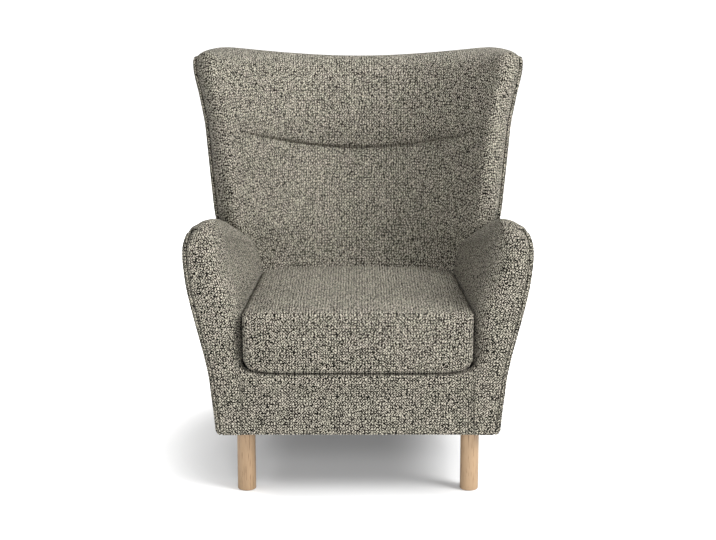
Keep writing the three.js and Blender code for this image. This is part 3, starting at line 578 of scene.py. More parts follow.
def wing_round(z, inset, grow, s):
    ax, ay = inner_point(np.ones_like(z), z, grow)
    bx, by = outer_point(np.ones_like(z), z, inset)
    slope = np.arctan(wing(z) * INNER_POWER / inner_half(z))
    px = [ax, ax + WING_BULGE * np.cos(slope), bx, bx]
    py = [ay, ay - WING_BULGE * np.sin(slope), by - WING_BULGE - grow, by]
    weights = [(1 - s) ** 3, 3 * s * (1 - s) ** 2, 3 * s**2 * (1 - s), s**3]
    return sum(w * p for w, p in zip(weights, px)), sum(w * p for w, p in zip(weights, py))


def back_plan(u, z, s, inset, grow):
    ax, ay = inner_point(u, z, grow)
    bx, by = outer_point(u, z, inset)
    bend = wing_turn(u)
    side = np.sign(u)
    one = np.ones_like(z)
    ex, ey = inner_point(one, z, grow)
    fx, fy = outer_point(one, z, inset)
    rx, ry = wing_round(z, inset, grow, s)
    return mix(ax, bx, s) + bend * side * (rx - mix(ex, fx, s)), mix(ay, by, s) + bend * (ry - mix(ey, fy, s))


BACK_COLUMNS = both([0, 0.15, 0.3, 0.45, 0.58, 0.7, 0.8, 0.88, 0.94, 0.98, 1])
CHANNEL_ROW = 0.6
BACK_ROWS = [0, 0.17, 0.32, 0.44, 0.54, 0.585, 0.6, 0.614, 0.65, 0.73, 0.82, 0.9, 0.95, 0.985, 1]
ROUND_STEPS = [0, 0.13, 0.3, 0.5, 0.7, 0.88, 1]


def back_at(foot, inset, grow):
    def at(u, v, s):
        flat_x = back_plan(u, np.full_like(u, BACK_HEIGHT), s, inset, grow)[0]
        split = ARCH_SPLIT_SHARE
        front_arch = BACK_ARCH * dip(1 - s / split, 2)
        arch = np.where(s < split, front_arch, outer_arch(u) * dip((s - split) / (1 - split), 2))
        reach = BACK_HALF_WIDTH / (BACK_HALF_WIDTH + grow - min(inset, WELT_SET))
        top = top_edge(flat_x * reach) - arch + grow
        guide = channel_z(flat_x)
        low = mix(foot, guide, v / CHANNEL_ROW)
        high = mix(guide, top, (v - CHANNEL_ROW) / (1 - CHANNEL_ROW))
        z = np.where(v < CHANNEL_ROW, low, high)
        x, y = back_plan(u, z, s, inset, grow)
        return x, y, z

    return at


# Inside back upholstery: one cap over the front, the top and the wing edges, open at the rear and the foot
def inside_back():
    def keep(u, v, s):
        rear = (s == 1) & (np.abs(u) < REAR_LAP_SHARE) & (v < TOP_LAP_SHARE)
        return ~rear & (v > 0)

    plain = back_at(PAD_FOOT, PANEL_THICK + CLEARANCE + WELT_IN, 0)

    def at(u, v, s):
        x, y, z = plain(u, v, s)
        return x - np.sign(u) * WELT_TUCK * np.exp(-(((1 - s) / WELT_TUCK_SHARE) ** 2)) * wing_turn(u), y, z

    columns, rows, rounds = refine(BACK_COLUMNS, 6), refine(BACK_ROWS, 9), refine(ROUND_STEPS, 5)
    obj = block("back_upholstery", at, columns, rows, rounds, keep)
    thicken(obj, PAD_WALL)
    return obj


def outside_back():
    columns = refine(both([0, 0.14, 0.28, 0.42, 0.55, 0.66, 0.76, 0.86, 0.93, 0.97, 1]), 6)
    rows = refine([0, 0.16, 0.33, 0.44, 0.5, 0.56, 0.63, 0.74, 0.84, 0.92, 0.97, 1], 7)

    def at(u, v, s):
        flat_x = outer_point(u, np.full_like(u, BACK_HEIGHT), 0)[0]
        top = top_edge(flat_x) - outer_arch(u) - WELT_RADIUS * 2 - CLEARANCE * 2
        z = mix(BASE_HEIGHT, top, v)
        x, y = outer_point(u, z, PANEL_THICK * (1 - s))
        front = side_y(z) + WELT_SET
        full = PANEL_CROWN * s * (1 - (2 * v - 1) ** PANEL_EDGE_POWER) * (1 - np.abs(u) ** PANEL_EDGE_POWER)
        return x, np.maximum(y, front + (y - side_y(z)) * PANEL_SEAT_SHARE) + full, z

    return block("back_panel", at, columns, rows, [0, 1])


# Form of the arms over their height and their run from front to rear
def arm_share(z):
    return (z - BASE_HEIGHT) / (ARM_HEIGHT - BASE_HEIGHT)


def arm_run(y):
    return (y + CHAIR_FRONT) / (ARM_REAR + CHAIR_FRONT)


def arm_inner(y, z):
    t = arm_run(y)
    flare = mix(ARM_INNER_FLARE, ARM_REAR_FLARE, t) * along(ARM_INNER_SHARES, arm_share(z))
    return ARM_INNER_HALF - ARM_REAR_IN * t + flare


def arm_outer(y, z):
    front = ARM_OUTER_HALF + ARM_OUTER_FLARE * along(ARM_OUTER_SHARES, arm_share(z))
    rear = outer_half(z) + ARM_SIDE_STEP
    return mix(front, rear, clamp(arm_run(y)) ** TAPER_POWER) - round_off(z - BASE_HEIGHT, ARM_FOOT_ROUND)


def arm_top(y):
    return ARM_HEIGHT - ARM_REAR_DROP * arm_run(y)


def arm_fall(s, y):
    t = arm_run(y)
    peak = mix(*ARM_PEAK_SHARES, t)
    inner = mix(ARM_INNER_ARCH, ARM_REAR_ARCH, t) * dip(clamp((peak - s) / peak), INNER_ARCH_POWER)
    return inner + ARM_OUTER_ARCH * dip(clamp((s - peak) / (1 - peak)), OUTER_ARCH_POWER)


ARM_TURN_TOP = arm_top(-CHAIR_FRONT + ARM_BROW / 2) - ARM_OUTER_ARCH
ARM_TURN_LOW = mix(ARM_TURN_TOP, BASE_HEIGHT, ARM_BROW / (ARM_HEIGHT - BASE_HEIGHT))


def arm_edge(z):
    return -CHAIR_FRONT + ARM_BROW * dip(clamp((z - ARM_TURN_LOW) / (ARM_TURN_TOP - ARM_TURN_LOW)), 2)


def arm_front(s, v, width, z):
    inner = clamp(1 - (s * width) / (ARM_CORNER_IN * ARM_CORNER_SHARE))
    outer = clamp(1 - ((1 - s) * width) / ARM_CORNER_OUT)
    brow = clamp(1 - (1 - v) * ((ARM_HEIGHT - BASE_HEIGHT) / ARM_BROW))
    open_in = ease((z - ARM_OPEN_LOW) / (ARM_OPEN_HIGH - ARM_OPEN_LOW))
    turn = ARM_CORNER_IN * dip(inner, 2) * open_in + ARM_CORNER_OUT * dip(outer, 2) + ARM_BROW * dip(brow, 2)
    return -CHAIR_FRONT + turn


# Inside arm cover: arm front, inner side and top, open below and under the outer panel
def inside_arm():
    runs = refine([0, 0.06, 0.14, 0.26, 0.42, 0.58, 0.72, 0.86, 1], 8)
    rows = refine([0, 0.12, 0.25, 0.38, 0.52, 0.66, 0.78, 0.885, 0.935, 0.965, 0.985, 0.996, 1], 7)
    across = refine([0, 0.04, 0.1, 0.18, 0.28, 0.4, 0.52, 0.64, 0.76, 0.87, 0.95, 0.985, 1], 5)
    rear_end = ARM_REAR - WELT_RADIUS

    def at(u, v, s):
        z0 = mix(BASE_HEIGHT, ARM_HEIGHT, v)
        front = np.full_like(u, -CHAIR_FRONT)
        width = arm_outer(front, z0) - arm_inner(front, z0)
        y = mix(arm_front(s, v, width, z0), rear_end, u)
        behind = ease((y + CHAIR_FRONT + DUST_LAP - BORDER_THICK) / DUST_LAP)
        over_dust = (DUST_SET + DUST_THICK + CLEARANCE) * behind
        z = np.maximum(mix(BASE_HEIGHT, arm_top(y) - arm_fall(s, y), v), BASE_HEIGHT + over_dust)
        over_welt = z - arm_top(y) + ARM_WELT_DROP - WELT_RADIUS
        fill = ARM_FILL * np.exp(-(((over_welt - ARM_FILL_RISE) / ARM_FILL_RUN) ** 2)) * (over_welt > ARM_FILL_START)
        return mix(arm_inner(y, z), arm_outer(y, z) - PANEL_THICK - CLEARANCE - ARM_WELT_IN + fill, s), y, z

    def keep(u, v, s):
        under_panel = (s == 1) & (u > ARM_FRONT_LAP_SHARE) & (v < ARM_TOP_LAP_SHARE)
        return ~under_panel & (v > 0)

    obj = block("arm_upholstery_right", at, runs, rows, across, keep)
    thicken(obj, ARM_WALL)
    room = block("room", back_at(PAD_FOOT - CLEARANCE, -CLEARANCE, CLEARANCE),
                 refine(BACK_COLUMNS, 3), refine(BACK_ROWS, 4), refine(ROUND_STEPS, 3))
    return cut(obj, room)


def outside_arm():
    runs = refine([0, 0.03, 0.12, 0.3, 0.5, 0.66, 0.8, 0.9, 1], 8)
    rows = refine([0, 0.15, 0.3, 0.45, 0.6, 0.75, 0.87, 0.93, 0.965, 0.985, 1], 8)
    rear_end = ARM_REAR - WELT_RADIUS * 2

    def height_at(y, v):
        return mix(BASE_HEIGHT, arm_top(y) - ARM_WELT_DROP - WELT_RADIUS - CLEARANCE, v)

    def at(u, v, s):
        y = mix(arm_edge(height_at(mix(-CHAIR_FRONT, rear_end, u), v)) + WELT_SET, rear_end, u)
        z = height_at(y, v)
        full = PANEL_CROWN * s * (1 - (2 * v - 1) ** PANEL_EDGE_POWER) * (1 - (2 * u - 1) ** PANEL_EDGE_POWER)
        return arm_outer(y, z) - PANEL_THICK * (1 - s) + full, y, z

    return block("arm_panel_right", at, runs, rows, [0, 1])


# Sewn cords along the panel edges
def tube(name, points, radius, sides=14, steps=4):
    knots = np.array(points, float)
    slopes = np.gradient(knots, axis=0)
    places = np.linspace(0, len(knots) - 1, (len(knots) - 1) * steps + 1)
    i = np.minimum(places.astype(int), len(knots) - 2)
    path = curve(knots, slopes, i, (places - i)[:, None])
    ways = np.gradient(path, axis=0)
    ways /= np.linalg.norm(ways, axis=1)[:, None]
    side = np.cross(ways[0], [0.3, 0.5, 0.8])
    angles = np.linspace(0, 2 * math.pi, sides, endpoint=False)
    rings = []
    for point, way in zip(path, ways):
        side = side - way * side.dot(way)
        side = side / np.linalg.norm(side)
        ring = np.outer(np.cos(angles), side) + np.outer(np.sin(angles), np.cross(way, side))
        rings.append(point + radius * ring)
    length = np.concatenate([[0], np.cumsum(np.linalg.norm(np.diff(path, axis=0), axis=1))])
    last = len(rings) - 1
    faces, cloth = [], []
    for n in range(last):
        for m in range(sides):
            far = (m + 1) % sides
            faces.append([n * sides + m, n * sides + far, (n + 1) * sides + far, (n + 1) * sides + m])
            left, right = (radius * angles[1] * x * MM for x in (m, m + 1))
            low, high = length[n] * MM, length[n + 1] * MM
            cloth += [[left, low], [right, low], [right, high], [left, high]]
    for end, order in ((0, -1), (last, 1)):
        faces.append([end * sides + m for m in range(sides)][::order])
        cloth += [[0, 0]] * sides
    return make(name, np.concatenate(rings), faces, cloth)


def back_welt():
    half = []
    start = ARM_HEIGHT - ARM_REAR_DROP
    side_top = BACK_HEIGHT - TOP_CORNER - EDGE_ARCH - WELT_RADIUS
    for z in np.linspace(start, side_top, BACK_WELT_KNOTS[0]):
        half.append([outer_half(z) - WELT_RADIUS - CLEARANCE / 2 - WELT_IN,
                     side_y(z) + WELT_SET - WELT_RADIUS - CLEARANCE - WELT_FORWARD, z])
    for u in np.linspace(*BACK_WELT_RUN, BACK_WELT_KNOTS[1]):
        flat_x = outer_point(u, BACK_HEIGHT, 0)[0]
        z = top_edge(flat_x) - outer_arch(u) - WELT_RADIUS
        x, y = outer_point(u, z, WELT_RADIUS + CLEARANCE / 2 + WELT_IN)
        half.append([x, y, z])
    other = [[-x, y, z] for x, y, z in reversed(half)]
    return tube("back_welt", half + other, WELT_RADIUS)


def arm_welt():
    points = []
    front = -CHAIR_FRONT + WELT_SET - WELT_RADIUS - CLEARANCE
    rear = ARM_REAR - WELT_RADIUS + CLEARANCE

    def place(y, z):
        points.append([arm_outer(y, z) - WELT_RADIUS - CLEARANCE / 2 - ARM_WELT_IN, y, z])

    def top_of(y):
        return arm_top(y) - ARM_WELT_DROP + CLEARANCE

    for t in np.linspace(0, 1, ARM_WELT_KNOTS[0]):
        place(front, mix(BASE_HEIGHT + CLEARANCE, ARM_TURN_LOW, t))
    for t in ARM_WELT_TURN:
        z = mix(ARM_TURN_LOW, ARM_TURN_TOP, t)
        place(arm_edge(z) + front + CHAIR_FRONT, z)
    for t in np.linspace(0, 1, ARM_WELT_KNOTS[1]):
        y = mix(front + ARM_BROW * WELT_BROW_SHARE, rear - WELT_BEND, t)
        place(y, top_of(y))
    bend = WELT_BEND * WELT_BEND_SHARE
    place(rear - bend, top_of(rear) - bend)
    for t in np.linspace(0, 1, ARM_WELT_KNOTS[2]):
        place(rear, mix(top_of(rear) - WELT_BEND, BASE_HEIGHT + CLEARANCE, t))
    return tube("arm_welt_right", points, WELT_RADIUS)


# Front border between the arms, with a rounded lip that follows the cushion's foot
def front_border():
    def at(u, v, s):
        from_side = (1 - np.abs(u)) * ARM_INNER_HALF
        top = DECK_TOP - CLEARANCE - CUSHION_FRONT_DIP + BORDER_RISE_SHARE * foot_rise(from_side)
        z = mix(BASE_HEIGHT, top, v)
        lip = BORDER_THICK * BORDER_LIP_SHARE * dip((v - BORDER_LIP_START) / (1 - BORDER_LIP_START), 2)
        y = -CHAIR_FRONT + np.where(s == 0, lip, BORDER_THICK)
        return u * (arm_inner(y, z) + BORDER_LAP), y, z - np.where(s == 1, 0, lip * BORDER_LIP_DROP)

    across = refine(both([0, 0.5, 0.8, 0.93, 1]), 12)
    rows = refine([0, 0.5, BORDER_LIP_START, 0.93, 0.975, 1], 6)
    return block("front_border_cover", at, across, rows, [0, 1])


# Loose seat cushion
def cushion_half(y):
    return arm_inner(y, np.full_like(y, DECK_TOP)) - CUSHION_SIDE


def cushion_rear(x, z):
    return np.minimum(inner_wall(x, z), inner_y(DECK_TOP)) - CUSHION_REAR_GAP - BACK_CROWN


def foot_rise(from_side):
    rise = CUSHION_FOOT_RISE * clamp(1 - from_side / FOOT_RISE_RUN) ** FOOT_RISE_POWER
    return rise + CUSHION_CORNER_LIFT * clamp(1 - from_side / CORNER_LIFT_RUN) ** CORNER_LIFT_POWER


def cushion_floor(from_front):
    over_border = ease((BORDER_THICK - FRONT_DIP_SET - from_front) / FRONT_DIP_RUN)
    return DECK_TOP + CLEARANCE - CUSHION_FRONT_DIP * over_border


def cushion_at(u, v, s):
    front = np.full_like(u, CUSHION_SET_BACK - CHAIR_FRONT)
    depth = cushion_rear(0, DECK_TOP) - front
    half = cushion_half(front)
    tall = CUSHION_TOP - DECK_TOP
    from_side, from_front, from_rear = (1 - np.abs(u)) * half, s * depth, (1 - s) * depth
    from_top, from_foot = (1 - v) * tall, v * tall
    rise = foot_rise(from_side) * clamp(1 - from_front / FOOT_RISE_DEPTH)
    fall = round_off(from_front, CUSHION_FRONT_ROLL) + round_off(from_rear, CUSHION_ROLL)
    foot = cushion_floor(from_front) + round_off(from_side, CUSHION_FOOT_ROUND) + rise + fall
    middle = (1 - np.abs(u) ** CUSHION_WIDE_POWER) * (1 - np.abs(2 * s - 1) ** CUSHION_DEEP_POWER)
    top = CUSHION_TOP + CUSHION_CROWN * middle - fall - round_off(from_side, CUSHION_SIDE_ROUND)
    z = mix(foot, top, v)
    drawn = round_off(from_top, CUSHION_ROLL) + round_off(from_foot, CUSHION_FOOT_ROUND)
    front_in = round_off(from_top, CUSHION_FRONT_ROLL) + round_off(from_foot, CUSHION_FRONT_ROLL)
    front_y = front + front_in + round_off(from_side, CUSHION_CORNER_ROUND)
    side_in = round_off(from_top, CUSHION_SIDE_ROUND) + round_off(from_foot, CUSHION_FOOT_ROUND)
    side_in = side_in + round_off(from_front, CUSHION_CORNER_ROUND) + round_off(from_rear, CUSHION_ROLL)
    guess = u * (cushion_half(mix(front_y, inner_y(z), s)) - side_in)
    y = mix(front_y, cushion_rear(guess, z) - drawn, s)
    return u * (cushion_half(y) - side_in), y, z


def held_by_seam(points):
    x, y, z = points.T
    from_side = cushion_half(y) - np.abs(x)
    near_top, near_foot = z > CUSHION_TOP - HELD_TOP, z < DECK_TOP + HELD_FOOT
    near_front = y < HELD_FRONT - CHAIR_FRONT
    side_seam = (from_side < HELD_SIDE) & (near_top | near_foot | near_front)
    return np.where(side_seam | ((near_top | near_foot) & near_front), 1.0, 0.0)


def cushion():
    across = refine(both([0, 0.3, 0.55, 0.74, 0.86, 0.94, 0.97, 0.985, 1]), 6)
    deep = refine([0, 0.01, 0.03, 0.05, 0.08, 0.13, 0.26, 0.42, 0.6, 0.76, 0.88, 0.94, 0.97, 1], 6)
    up = refine([0, 0.03, 0.06, 0.16, 0.34, 0.5, 0.66, 0.8, 0.87, 0.93, 0.97, 1], 5)
    obj = block("seat_cushion", cushion_at, across, up, deep)
    swell(obj, held_by_seam, SWELL_LIMIT)
    points = read_points(obj)
    x, y, z = points.T
    from_side = cushion_half(y) - np.abs(x)
    outer = ease((z - DECK_TOP - SEAM_START) / SEAM_RUN)
    seam = SEAM_DEPTH * np.exp(-(((from_side - SEAM_WIDE) / SEAM_WIDE * SEAM_SHARPNESS) ** 2)) * outer
    y = y + seam * (z < CUSHION_TOP - HELD_TOP)
    z = z - seam * (z >= CUSHION_TOP - HELD_TOP)
    from_top, from_front = CUSHION_TOP - z, y + CHAIR_FRONT
    edge = EDGE_SEAM_DEPTH * np.exp(-(((from_top - from_front) / EDGE_SEAM_WIDE) ** 2))
    edge = edge * (from_top + from_front < EDGE_SEAM_REACH)
    y, z = y + edge, z - edge
    side = arm_inner(y, z) - CLEARANCE - CUSHION_SIDE * clamp(1 - (y + CHAIR_FRONT) / SIDE_GAP_RUN)
    floor = cushion_floor(y + CHAIR_FRONT)
    x, y, z = np.clip(x, -side, side), np.minimum(y, cushion_rear(x, z)), np.maximum(z, floor)
    write_points(obj, np.stack([x, y, z], 1))
    return obj


# Seat deck over the springs, under the cushion
def seat_deck():
    low = DECK_TOP - DECK_THICK
    front = -CHAIR_FRONT + BORDER_THICK + CLEARANCE

    def at(u, v, s):
        x = u * (arm_inner(mix(front, inner_y(PAD_FOOT), s), np.full_like(u, DECK_TOP)) - CLEARANCE * 2)
        out = np.abs(x) / inner_half(PAD_FOOT)
        near = inner_y(PAD_FOOT) - wing(PAD_FOOT) * np.minimum(out, 1) ** INNER_POWER
        turn = ease((out - DECK_TURN_START) / (1 - DECK_TURN_START))
        rear = near - DECK_GAP - WING_BULGE * DECK_BULGE_SHARE * turn
        sink = DECK_CROWN * (1 - (1 - u**DECK_CROWN_POWER) * (1 - (2 * s - 1) ** DECK_CROWN_POWER))
        return x, mix(front, rear, s), mix(low, DECK_TOP - sink, v)

    return block("seat_deck_cover", at, np.linspace(-1, 1, FLAT_STEPS), [0, 1], np.linspace(0, 1, DECK_ROWS))


# Turned pieces
def turned(name, profile, x, y, sides=64):
    angles = np.linspace(0, 2 * math.pi, sides, endpoint=False)
    points, faces, rings = [], [], []
    for radius, z in profile:
        if radius == 0:
            rings.append([len(points)] * sides)
            points.append([x, y, z])
        else:
            rings.append(list(range(len(points), len(points) + sides)))
            points += [[x + radius * math.cos(a), y + radius * math.sin(a), z] for a in angles]
    for lower, upper in zip(rings, rings[1:]):
        for n in range(sides):
            m = (n + 1) % sides
            faces.append(list(dict.fromkeys([lower[n], lower[m], upper[m], upper[n]])))
    obj = make(name, points, faces)
    crease(obj, 30)
    return obj


def foot_edge(radius, foot, bevel, steps):
    turns = np.linspace(0, math.pi / 2, steps)[1:]
    return [(radius - bevel + bevel * math.sin(a), foot + bevel - bevel * math.cos(a)) for a in turns]


def leg(name, x, y):
    foot, top, bevel = LEG_FOOT, FRAME_FOOT, LEG_BEVEL
    bore = BOLT_RADIUS + BORE_GAP
    recess = GLIDE_RADIUS + BORE_GAP
    profile = [(0, GLIDE_THICK), (recess, GLIDE_THICK), (recess, foot), (LEG_FOOT_RADIUS - bevel, foot)]
    profile += foot_edge(LEG_FOOT_RADIUS, foot, bevel, 5)
    for t in np.linspace(0, 1, 13)[1:]:
        profile.append((mix(LEG_FOOT_RADIUS, LEG_RADIUS, t), mix(foot + bevel, top, t)))
    profile += [(bore, top), (bore, top - BOLT_DOWN - BORE_GAP), (0, top - BOLT_DOWN - BORE_GAP)]
    return turned(name, profile, x, y)


def glide(name, x, y):
    profile = [(0, 0), (GLIDE_RADIUS - GLIDE_BEVEL, 0)] + foot_edge(GLIDE_RADIUS, 0, GLIDE_BEVEL, 4)
    profile += [(GLIDE_RADIUS, GLIDE_THICK), (0, GLIDE_THICK)]
    return turned(name, profile, x, y, 40)


# Dust cover under the frame
def dust_cover():
    front = -CHAIR_FRONT + BORDER_THICK + CLEARANCE * 2
    rear = outer_y(BASE_HEIGHT) - PANEL_THICK - DUST_GAP
    side = side_y(BASE_HEIGHT)

    def half(y):
        z = np.full_like(y, BASE_HEIGHT)
        arm = arm_outer(y, z + DUST_SET) - PANEL_THICK - DUST_GAP
        rise = clamp((y - side) / (rear - side))
        back = (outer_half(z) - PANEL_THICK - DUST_GAP) * clamp(1 - rise**OUTER_POWER) ** (1 / OUTER_POWER)
        beside_arm = y < ARM_REAR - WELT_RADIUS * 2 - DUST_GAP
        return np.where(beside_arm, np.minimum(arm, back + ARM_SIDE_STEP), back)

    def at(u, v, s):
        y = mix(front, rear, 1 - (1 - s) ** DUST_ROW_POWER)
        return u * np.maximum(half(y), 1), y, BASE_HEIGHT + DUST_SET + DUST_THICK * v

    obj = block("dust_cloth", at, np.linspace(-1, 1, FLAT_STEPS), [0, 1], np.linspace(0, 1, FLAT_STEPS))
    for y in (LEG_FRONT_Y, LEG_REAR_Y):
        for x in (LEG_X, -LEG_X):
            low, high, hole = BASE_HEIGHT - DUST_SET, FRAME_FOOT + DUST_SET, LEG_RADIUS + LEG_HOLE_GAP
            cut(obj, turned("tool", [(0, low), (hole, low), (hole, high), (0, high)], x, y, 48))
    return obj


# Materials
def start_material(name):
    material = bpy.data.materials.new(name)
    material.use_nodes = True
    tree = material.node_tree
    shader = tree.nodes["Principled BSDF"]
    return material, tree, shader


def add_node(tree, kind):
    return tree.nodes.new("ShaderNode" + kind)


def feed(tree, slots, values):
    for slot, value in zip(slots, values):
        if isinstance(value, (int, float)):
            slot.default_value = value
        elif isinstance(value, tuple):
            slot.default_value = (*value, 1)
        elif value is not None:
            tree.links.new(value, slot)


def math_node(tree, operation, a, b=None, clamped=False):
    made = add_node(tree, "Math")
    made.operation = operation
    made.use_clamp = clamped
    feed(tree, made.inputs, (a, b))
    return made.outputs[0]


def mix_colours(tree, factor, a, b, blend="MIX"):
    made = add_node(tree, "Mix")
    made.data_type = "RGBA"
    made.blend_type = blend
    feed(tree, (made.inputs[0], made.inputs[6], made.inputs[7]), (factor, a, b))
    return made.outputs[2]


def ramp(tree, value, stops):
    made = add_node(tree, "ValToRGB")
    while len(made.color_ramp.elements) < len(stops):
        made.color_ramp.elements.new(0.5)
    for element, (place, colour) in zip(made.color_ramp.elements, stops):
        element.position = place
        element.color = (*colour, 1) if isinstance(colour, tuple) else (colour, colour, colour, 1)
    tree.links.new(value, made.inputs[0])
    return made.outputs[0]


def noise(tree, vector, scale, detail=2.0, roughness=0.5, distortion=0.0):
    made = add_node(tree, "TexNoise")
    settings = {"Scale": scale, "Detail": detail, "Roughness": roughness, "Distortion": distortion}
    for key, value in settings.items():
        made.inputs[key].default_value = value
    tree.links.new(vector, made.inputs["Vector"])
    return made.outputs["Fac"]


def coordinates(tree, kind, stretch=(1, 1, 1)):
    places = add_node(tree, "TexCoord").outputs[kind]
    mapping = add_node(tree, "Mapping")
    mapping.inputs["Scale"].default_value = stretch
    tree.links.new(places, mapping.inputs["Vector"])
    return mapping.outputs["Vector"]


def paint(tree, shader, colour, rough):
    tree.links.new(colour, shader.inputs["Base Color"])
    shader.inputs["Roughness"].default_value = rough


def bump(tree, shader, height, distance, strength):
    made = add_node(tree, "Bump")
    made.inputs["Distance"].default_value = distance
    made.inputs["Strength"].default_value = strength
    tree.links.new(height, made.inputs["Height"])
    tree.links.new(made.outputs["Normal"], shader.inputs["Normal"])


# Mixed weave: light and dark yarns in random cells, lifted where warp and weft cross; pitches in metres
YARN_PITCH = 0.0021
YARN_STRETCH = (1, 1.2, 1)
YARN_RANDOMNESS = 0.7
WARP_PITCH = 0.0068
WEFT_PITCH = 0.0072
WARP_SLIP_SCALE = 90
WEFT_SLIP_SCALE = 102
YARN_SLIP = 1.5
WARP_SHARE = 0.18
WEFT_SHARE = 0.12
CROSSING_SHARE = 0.5
MOTTLE_SCALE = 0.16 / YARN_PITCH
MOTTLE_SHARE = 0.1
PATCH_SCALE = 22
YARN_BUMP = 0.0010
YARN_BUMP_SHARE = 0.6
YARN_BUMP_STRENGTH = 0.7
LIGHT_YARN = (0.275, 0.256, 0.214)
MIDDLE_YARN = (0.068, 0.0635, 0.053)
DARK_YARN = (0.004, 0.0038, 0.003)
CREAM_YARN = (0.44, 0.41, 0.345)
YARN_STOPS = [(0.44, DARK_YARN), (0.57, MIDDLE_YARN), (0.70, LIGHT_YARN), (1.0, CREAM_YARN)]
OLIVE_TINT = (0.99, 1.0, 0.965)
ROSE_TINT = (1.01, 0.995, 0.985)
TINT_STOPS = [(0.38, OLIVE_TINT), (0.62, ROSE_TINT)]


def weave_wave(tree, place, along_cloth, pitch, scale):
    slip = math_node(tree, "SUBTRACT", noise(tree, place, scale, 1.0), 0.5)
    turn = math_node(tree, "MULTIPLY", along_cloth, 2 * math.pi / pitch)
    slipped = math_node(tree, "ADD", turn, math_node(tree, "MULTIPLY", slip, YARN_SLIP * 2 * math.pi))
    return math_node(tree, "COSINE", slipped)


def woven_fabric():
    material, tree, shader = start_material("mixed_weave")
    place = coordinates(tree, "Object")
    cloth = add_node(tree, "TexCoord").outputs["UV"]
    cells = add_node(tree, "TexVoronoi")
    cells.voronoi_dimensions = "2D"
    cells.feature = "F1"
    cells.inputs["Scale"].default_value = 1 / YARN_PITCH
    cells.inputs["Randomness"].default_value = YARN_RANDOMNESS
    tree.links.new(coordinates(tree, "UV", YARN_STRETCH), cells.inputs["Vector"])
    parts = add_node(tree, "SeparateColor")
    tree.links.new(cells.outputs["Color"], parts.inputs[0])
    pick = parts.outputs[0]
    mottle = noise(tree, place, MOTTLE_SCALE)
    spot = add_node(tree, "SeparateXYZ")
    tree.links.new(cloth, spot.inputs[0])
    warp = weave_wave(tree, place, spot.outputs[0], WARP_PITCH, WARP_SLIP_SCALE)
    weft = weave_wave(tree, place, spot.outputs[1], WEFT_PITCH, WEFT_SLIP_SCALE)
    crossing = math_node(tree, "MULTIPLY", warp, weft)
    lifted = pick
    for part, weight in ((math_node(tree, "SUBTRACT", mottle, 0.5), MOTTLE_SHARE), (warp, WARP_SHARE),
                         (weft, WEFT_SHARE), (crossing, CROSSING_SHARE)):
        lifted = math_node(tree, "ADD", lifted, math_node(tree, "MULTIPLY", part, weight))
    yarn = ramp(tree, lifted, YARN_STOPS)
    tint = ramp(tree, noise(tree, place, PATCH_SCALE), TINT_STOPS)
    colour = mix_colours(tree, 1.0, yarn, tint, "MULTIPLY")
    paint(tree, shader, colour, 0.95)
    dome = math_node(tree, "SUBTRACT", 1.0, cells.outputs["Distance"], True)
    height = math_node(tree, "MULTIPLY", math_node(tree, "ADD", dome, lifted), YARN_BUMP_SHARE)
    bump(tree, shader, height, YARN_BUMP, YARN_BUMP_STRENGTH)
    shader.inputs["Specular IOR Level"].default_value = 0.1
    return material


# Scale, detail, roughness and distortion of the wood's noise
RING_NOISE = (60, 3.0, 0.55, 0.6)
FLECK_NOISE = (420, 2.0, 0.6)


def grained_wood(name, stretch, pale, dark, pores, rough):
    material, tree, shader = start_material(name)
    place = coordinates(tree, "Object", stretch)
    rings = noise(tree, place, *RING_NOISE)
    flecks = noise(tree, place, *FLECK_NOISE)
    base = ramp(tree, rings, [(0.3, dark), (0.68, pale)])
    mask = ramp(tree, flecks, [(0.34, 1.0), (0.42, 0.0)])
    colour = mix_colours(tree, mask, base, pores)
    paint(tree, shader, colour, rough)
    bump(tree, shader, flecks, 0.0002, 0.3)
    return material


def spotted(name, base, other, scale, rough, metallic=0.0, relief=0.0002):
    material, tree, shader = start_material(name)
    place = coordinates(tree, "Object")
    grain = noise(tree, place, scale, 3.0, 0.6)
    colour = ramp(tree, grain, [(0.35, base), (0.65, other)])
    paint(tree, shader, colour, rough)
    bump(tree, shader, grain, relief, 0.5)
    shader.inputs["Metallic"].default_value = metallic
    return material


FABRIC = woven_fabric()
BEECH = grained_wood("beech", (1, 1, 0.06), (0.35, 0.235, 0.135), (0.29, 0.19, 0.105), (0.19, 0.115, 0.058), 0.5)
PINE = ((0.6, 0.42, 0.24), (0.47, 0.31, 0.17), (0.36, 0.22, 0.11), 0.75)
FRAME_WOOD = {
    "x": grained_wood("frame_wood_across", (0.06, 1, 1), *PINE),
    "y": grained_wood("frame_wood_deep", (1, 0.06, 1), *PINE),
    "z": grained_wood("frame_wood_upright", (1, 1, 0.06), *PINE),
}
STEEL = spotted("spring_steel", (0.42, 0.42, 0.43), (0.33, 0.33, 0.34), 300, 0.35, 0.9)
PLASTIC = spotted("glide_plastic", (0.03, 0.03, 0.03), (0.045, 0.045, 0.045), 500, 0.5)
LINING = spotted("lining", (0.018, 0.018, 0.018), (0.045, 0.044, 0.042), 900, 0.95, 0.0, 0.0005)
WEBBING = spotted("webbing", (0.05, 0.045, 0.04), (0.12, 0.11, 0.09), 700, 0.9, 0.0, 0.0006)


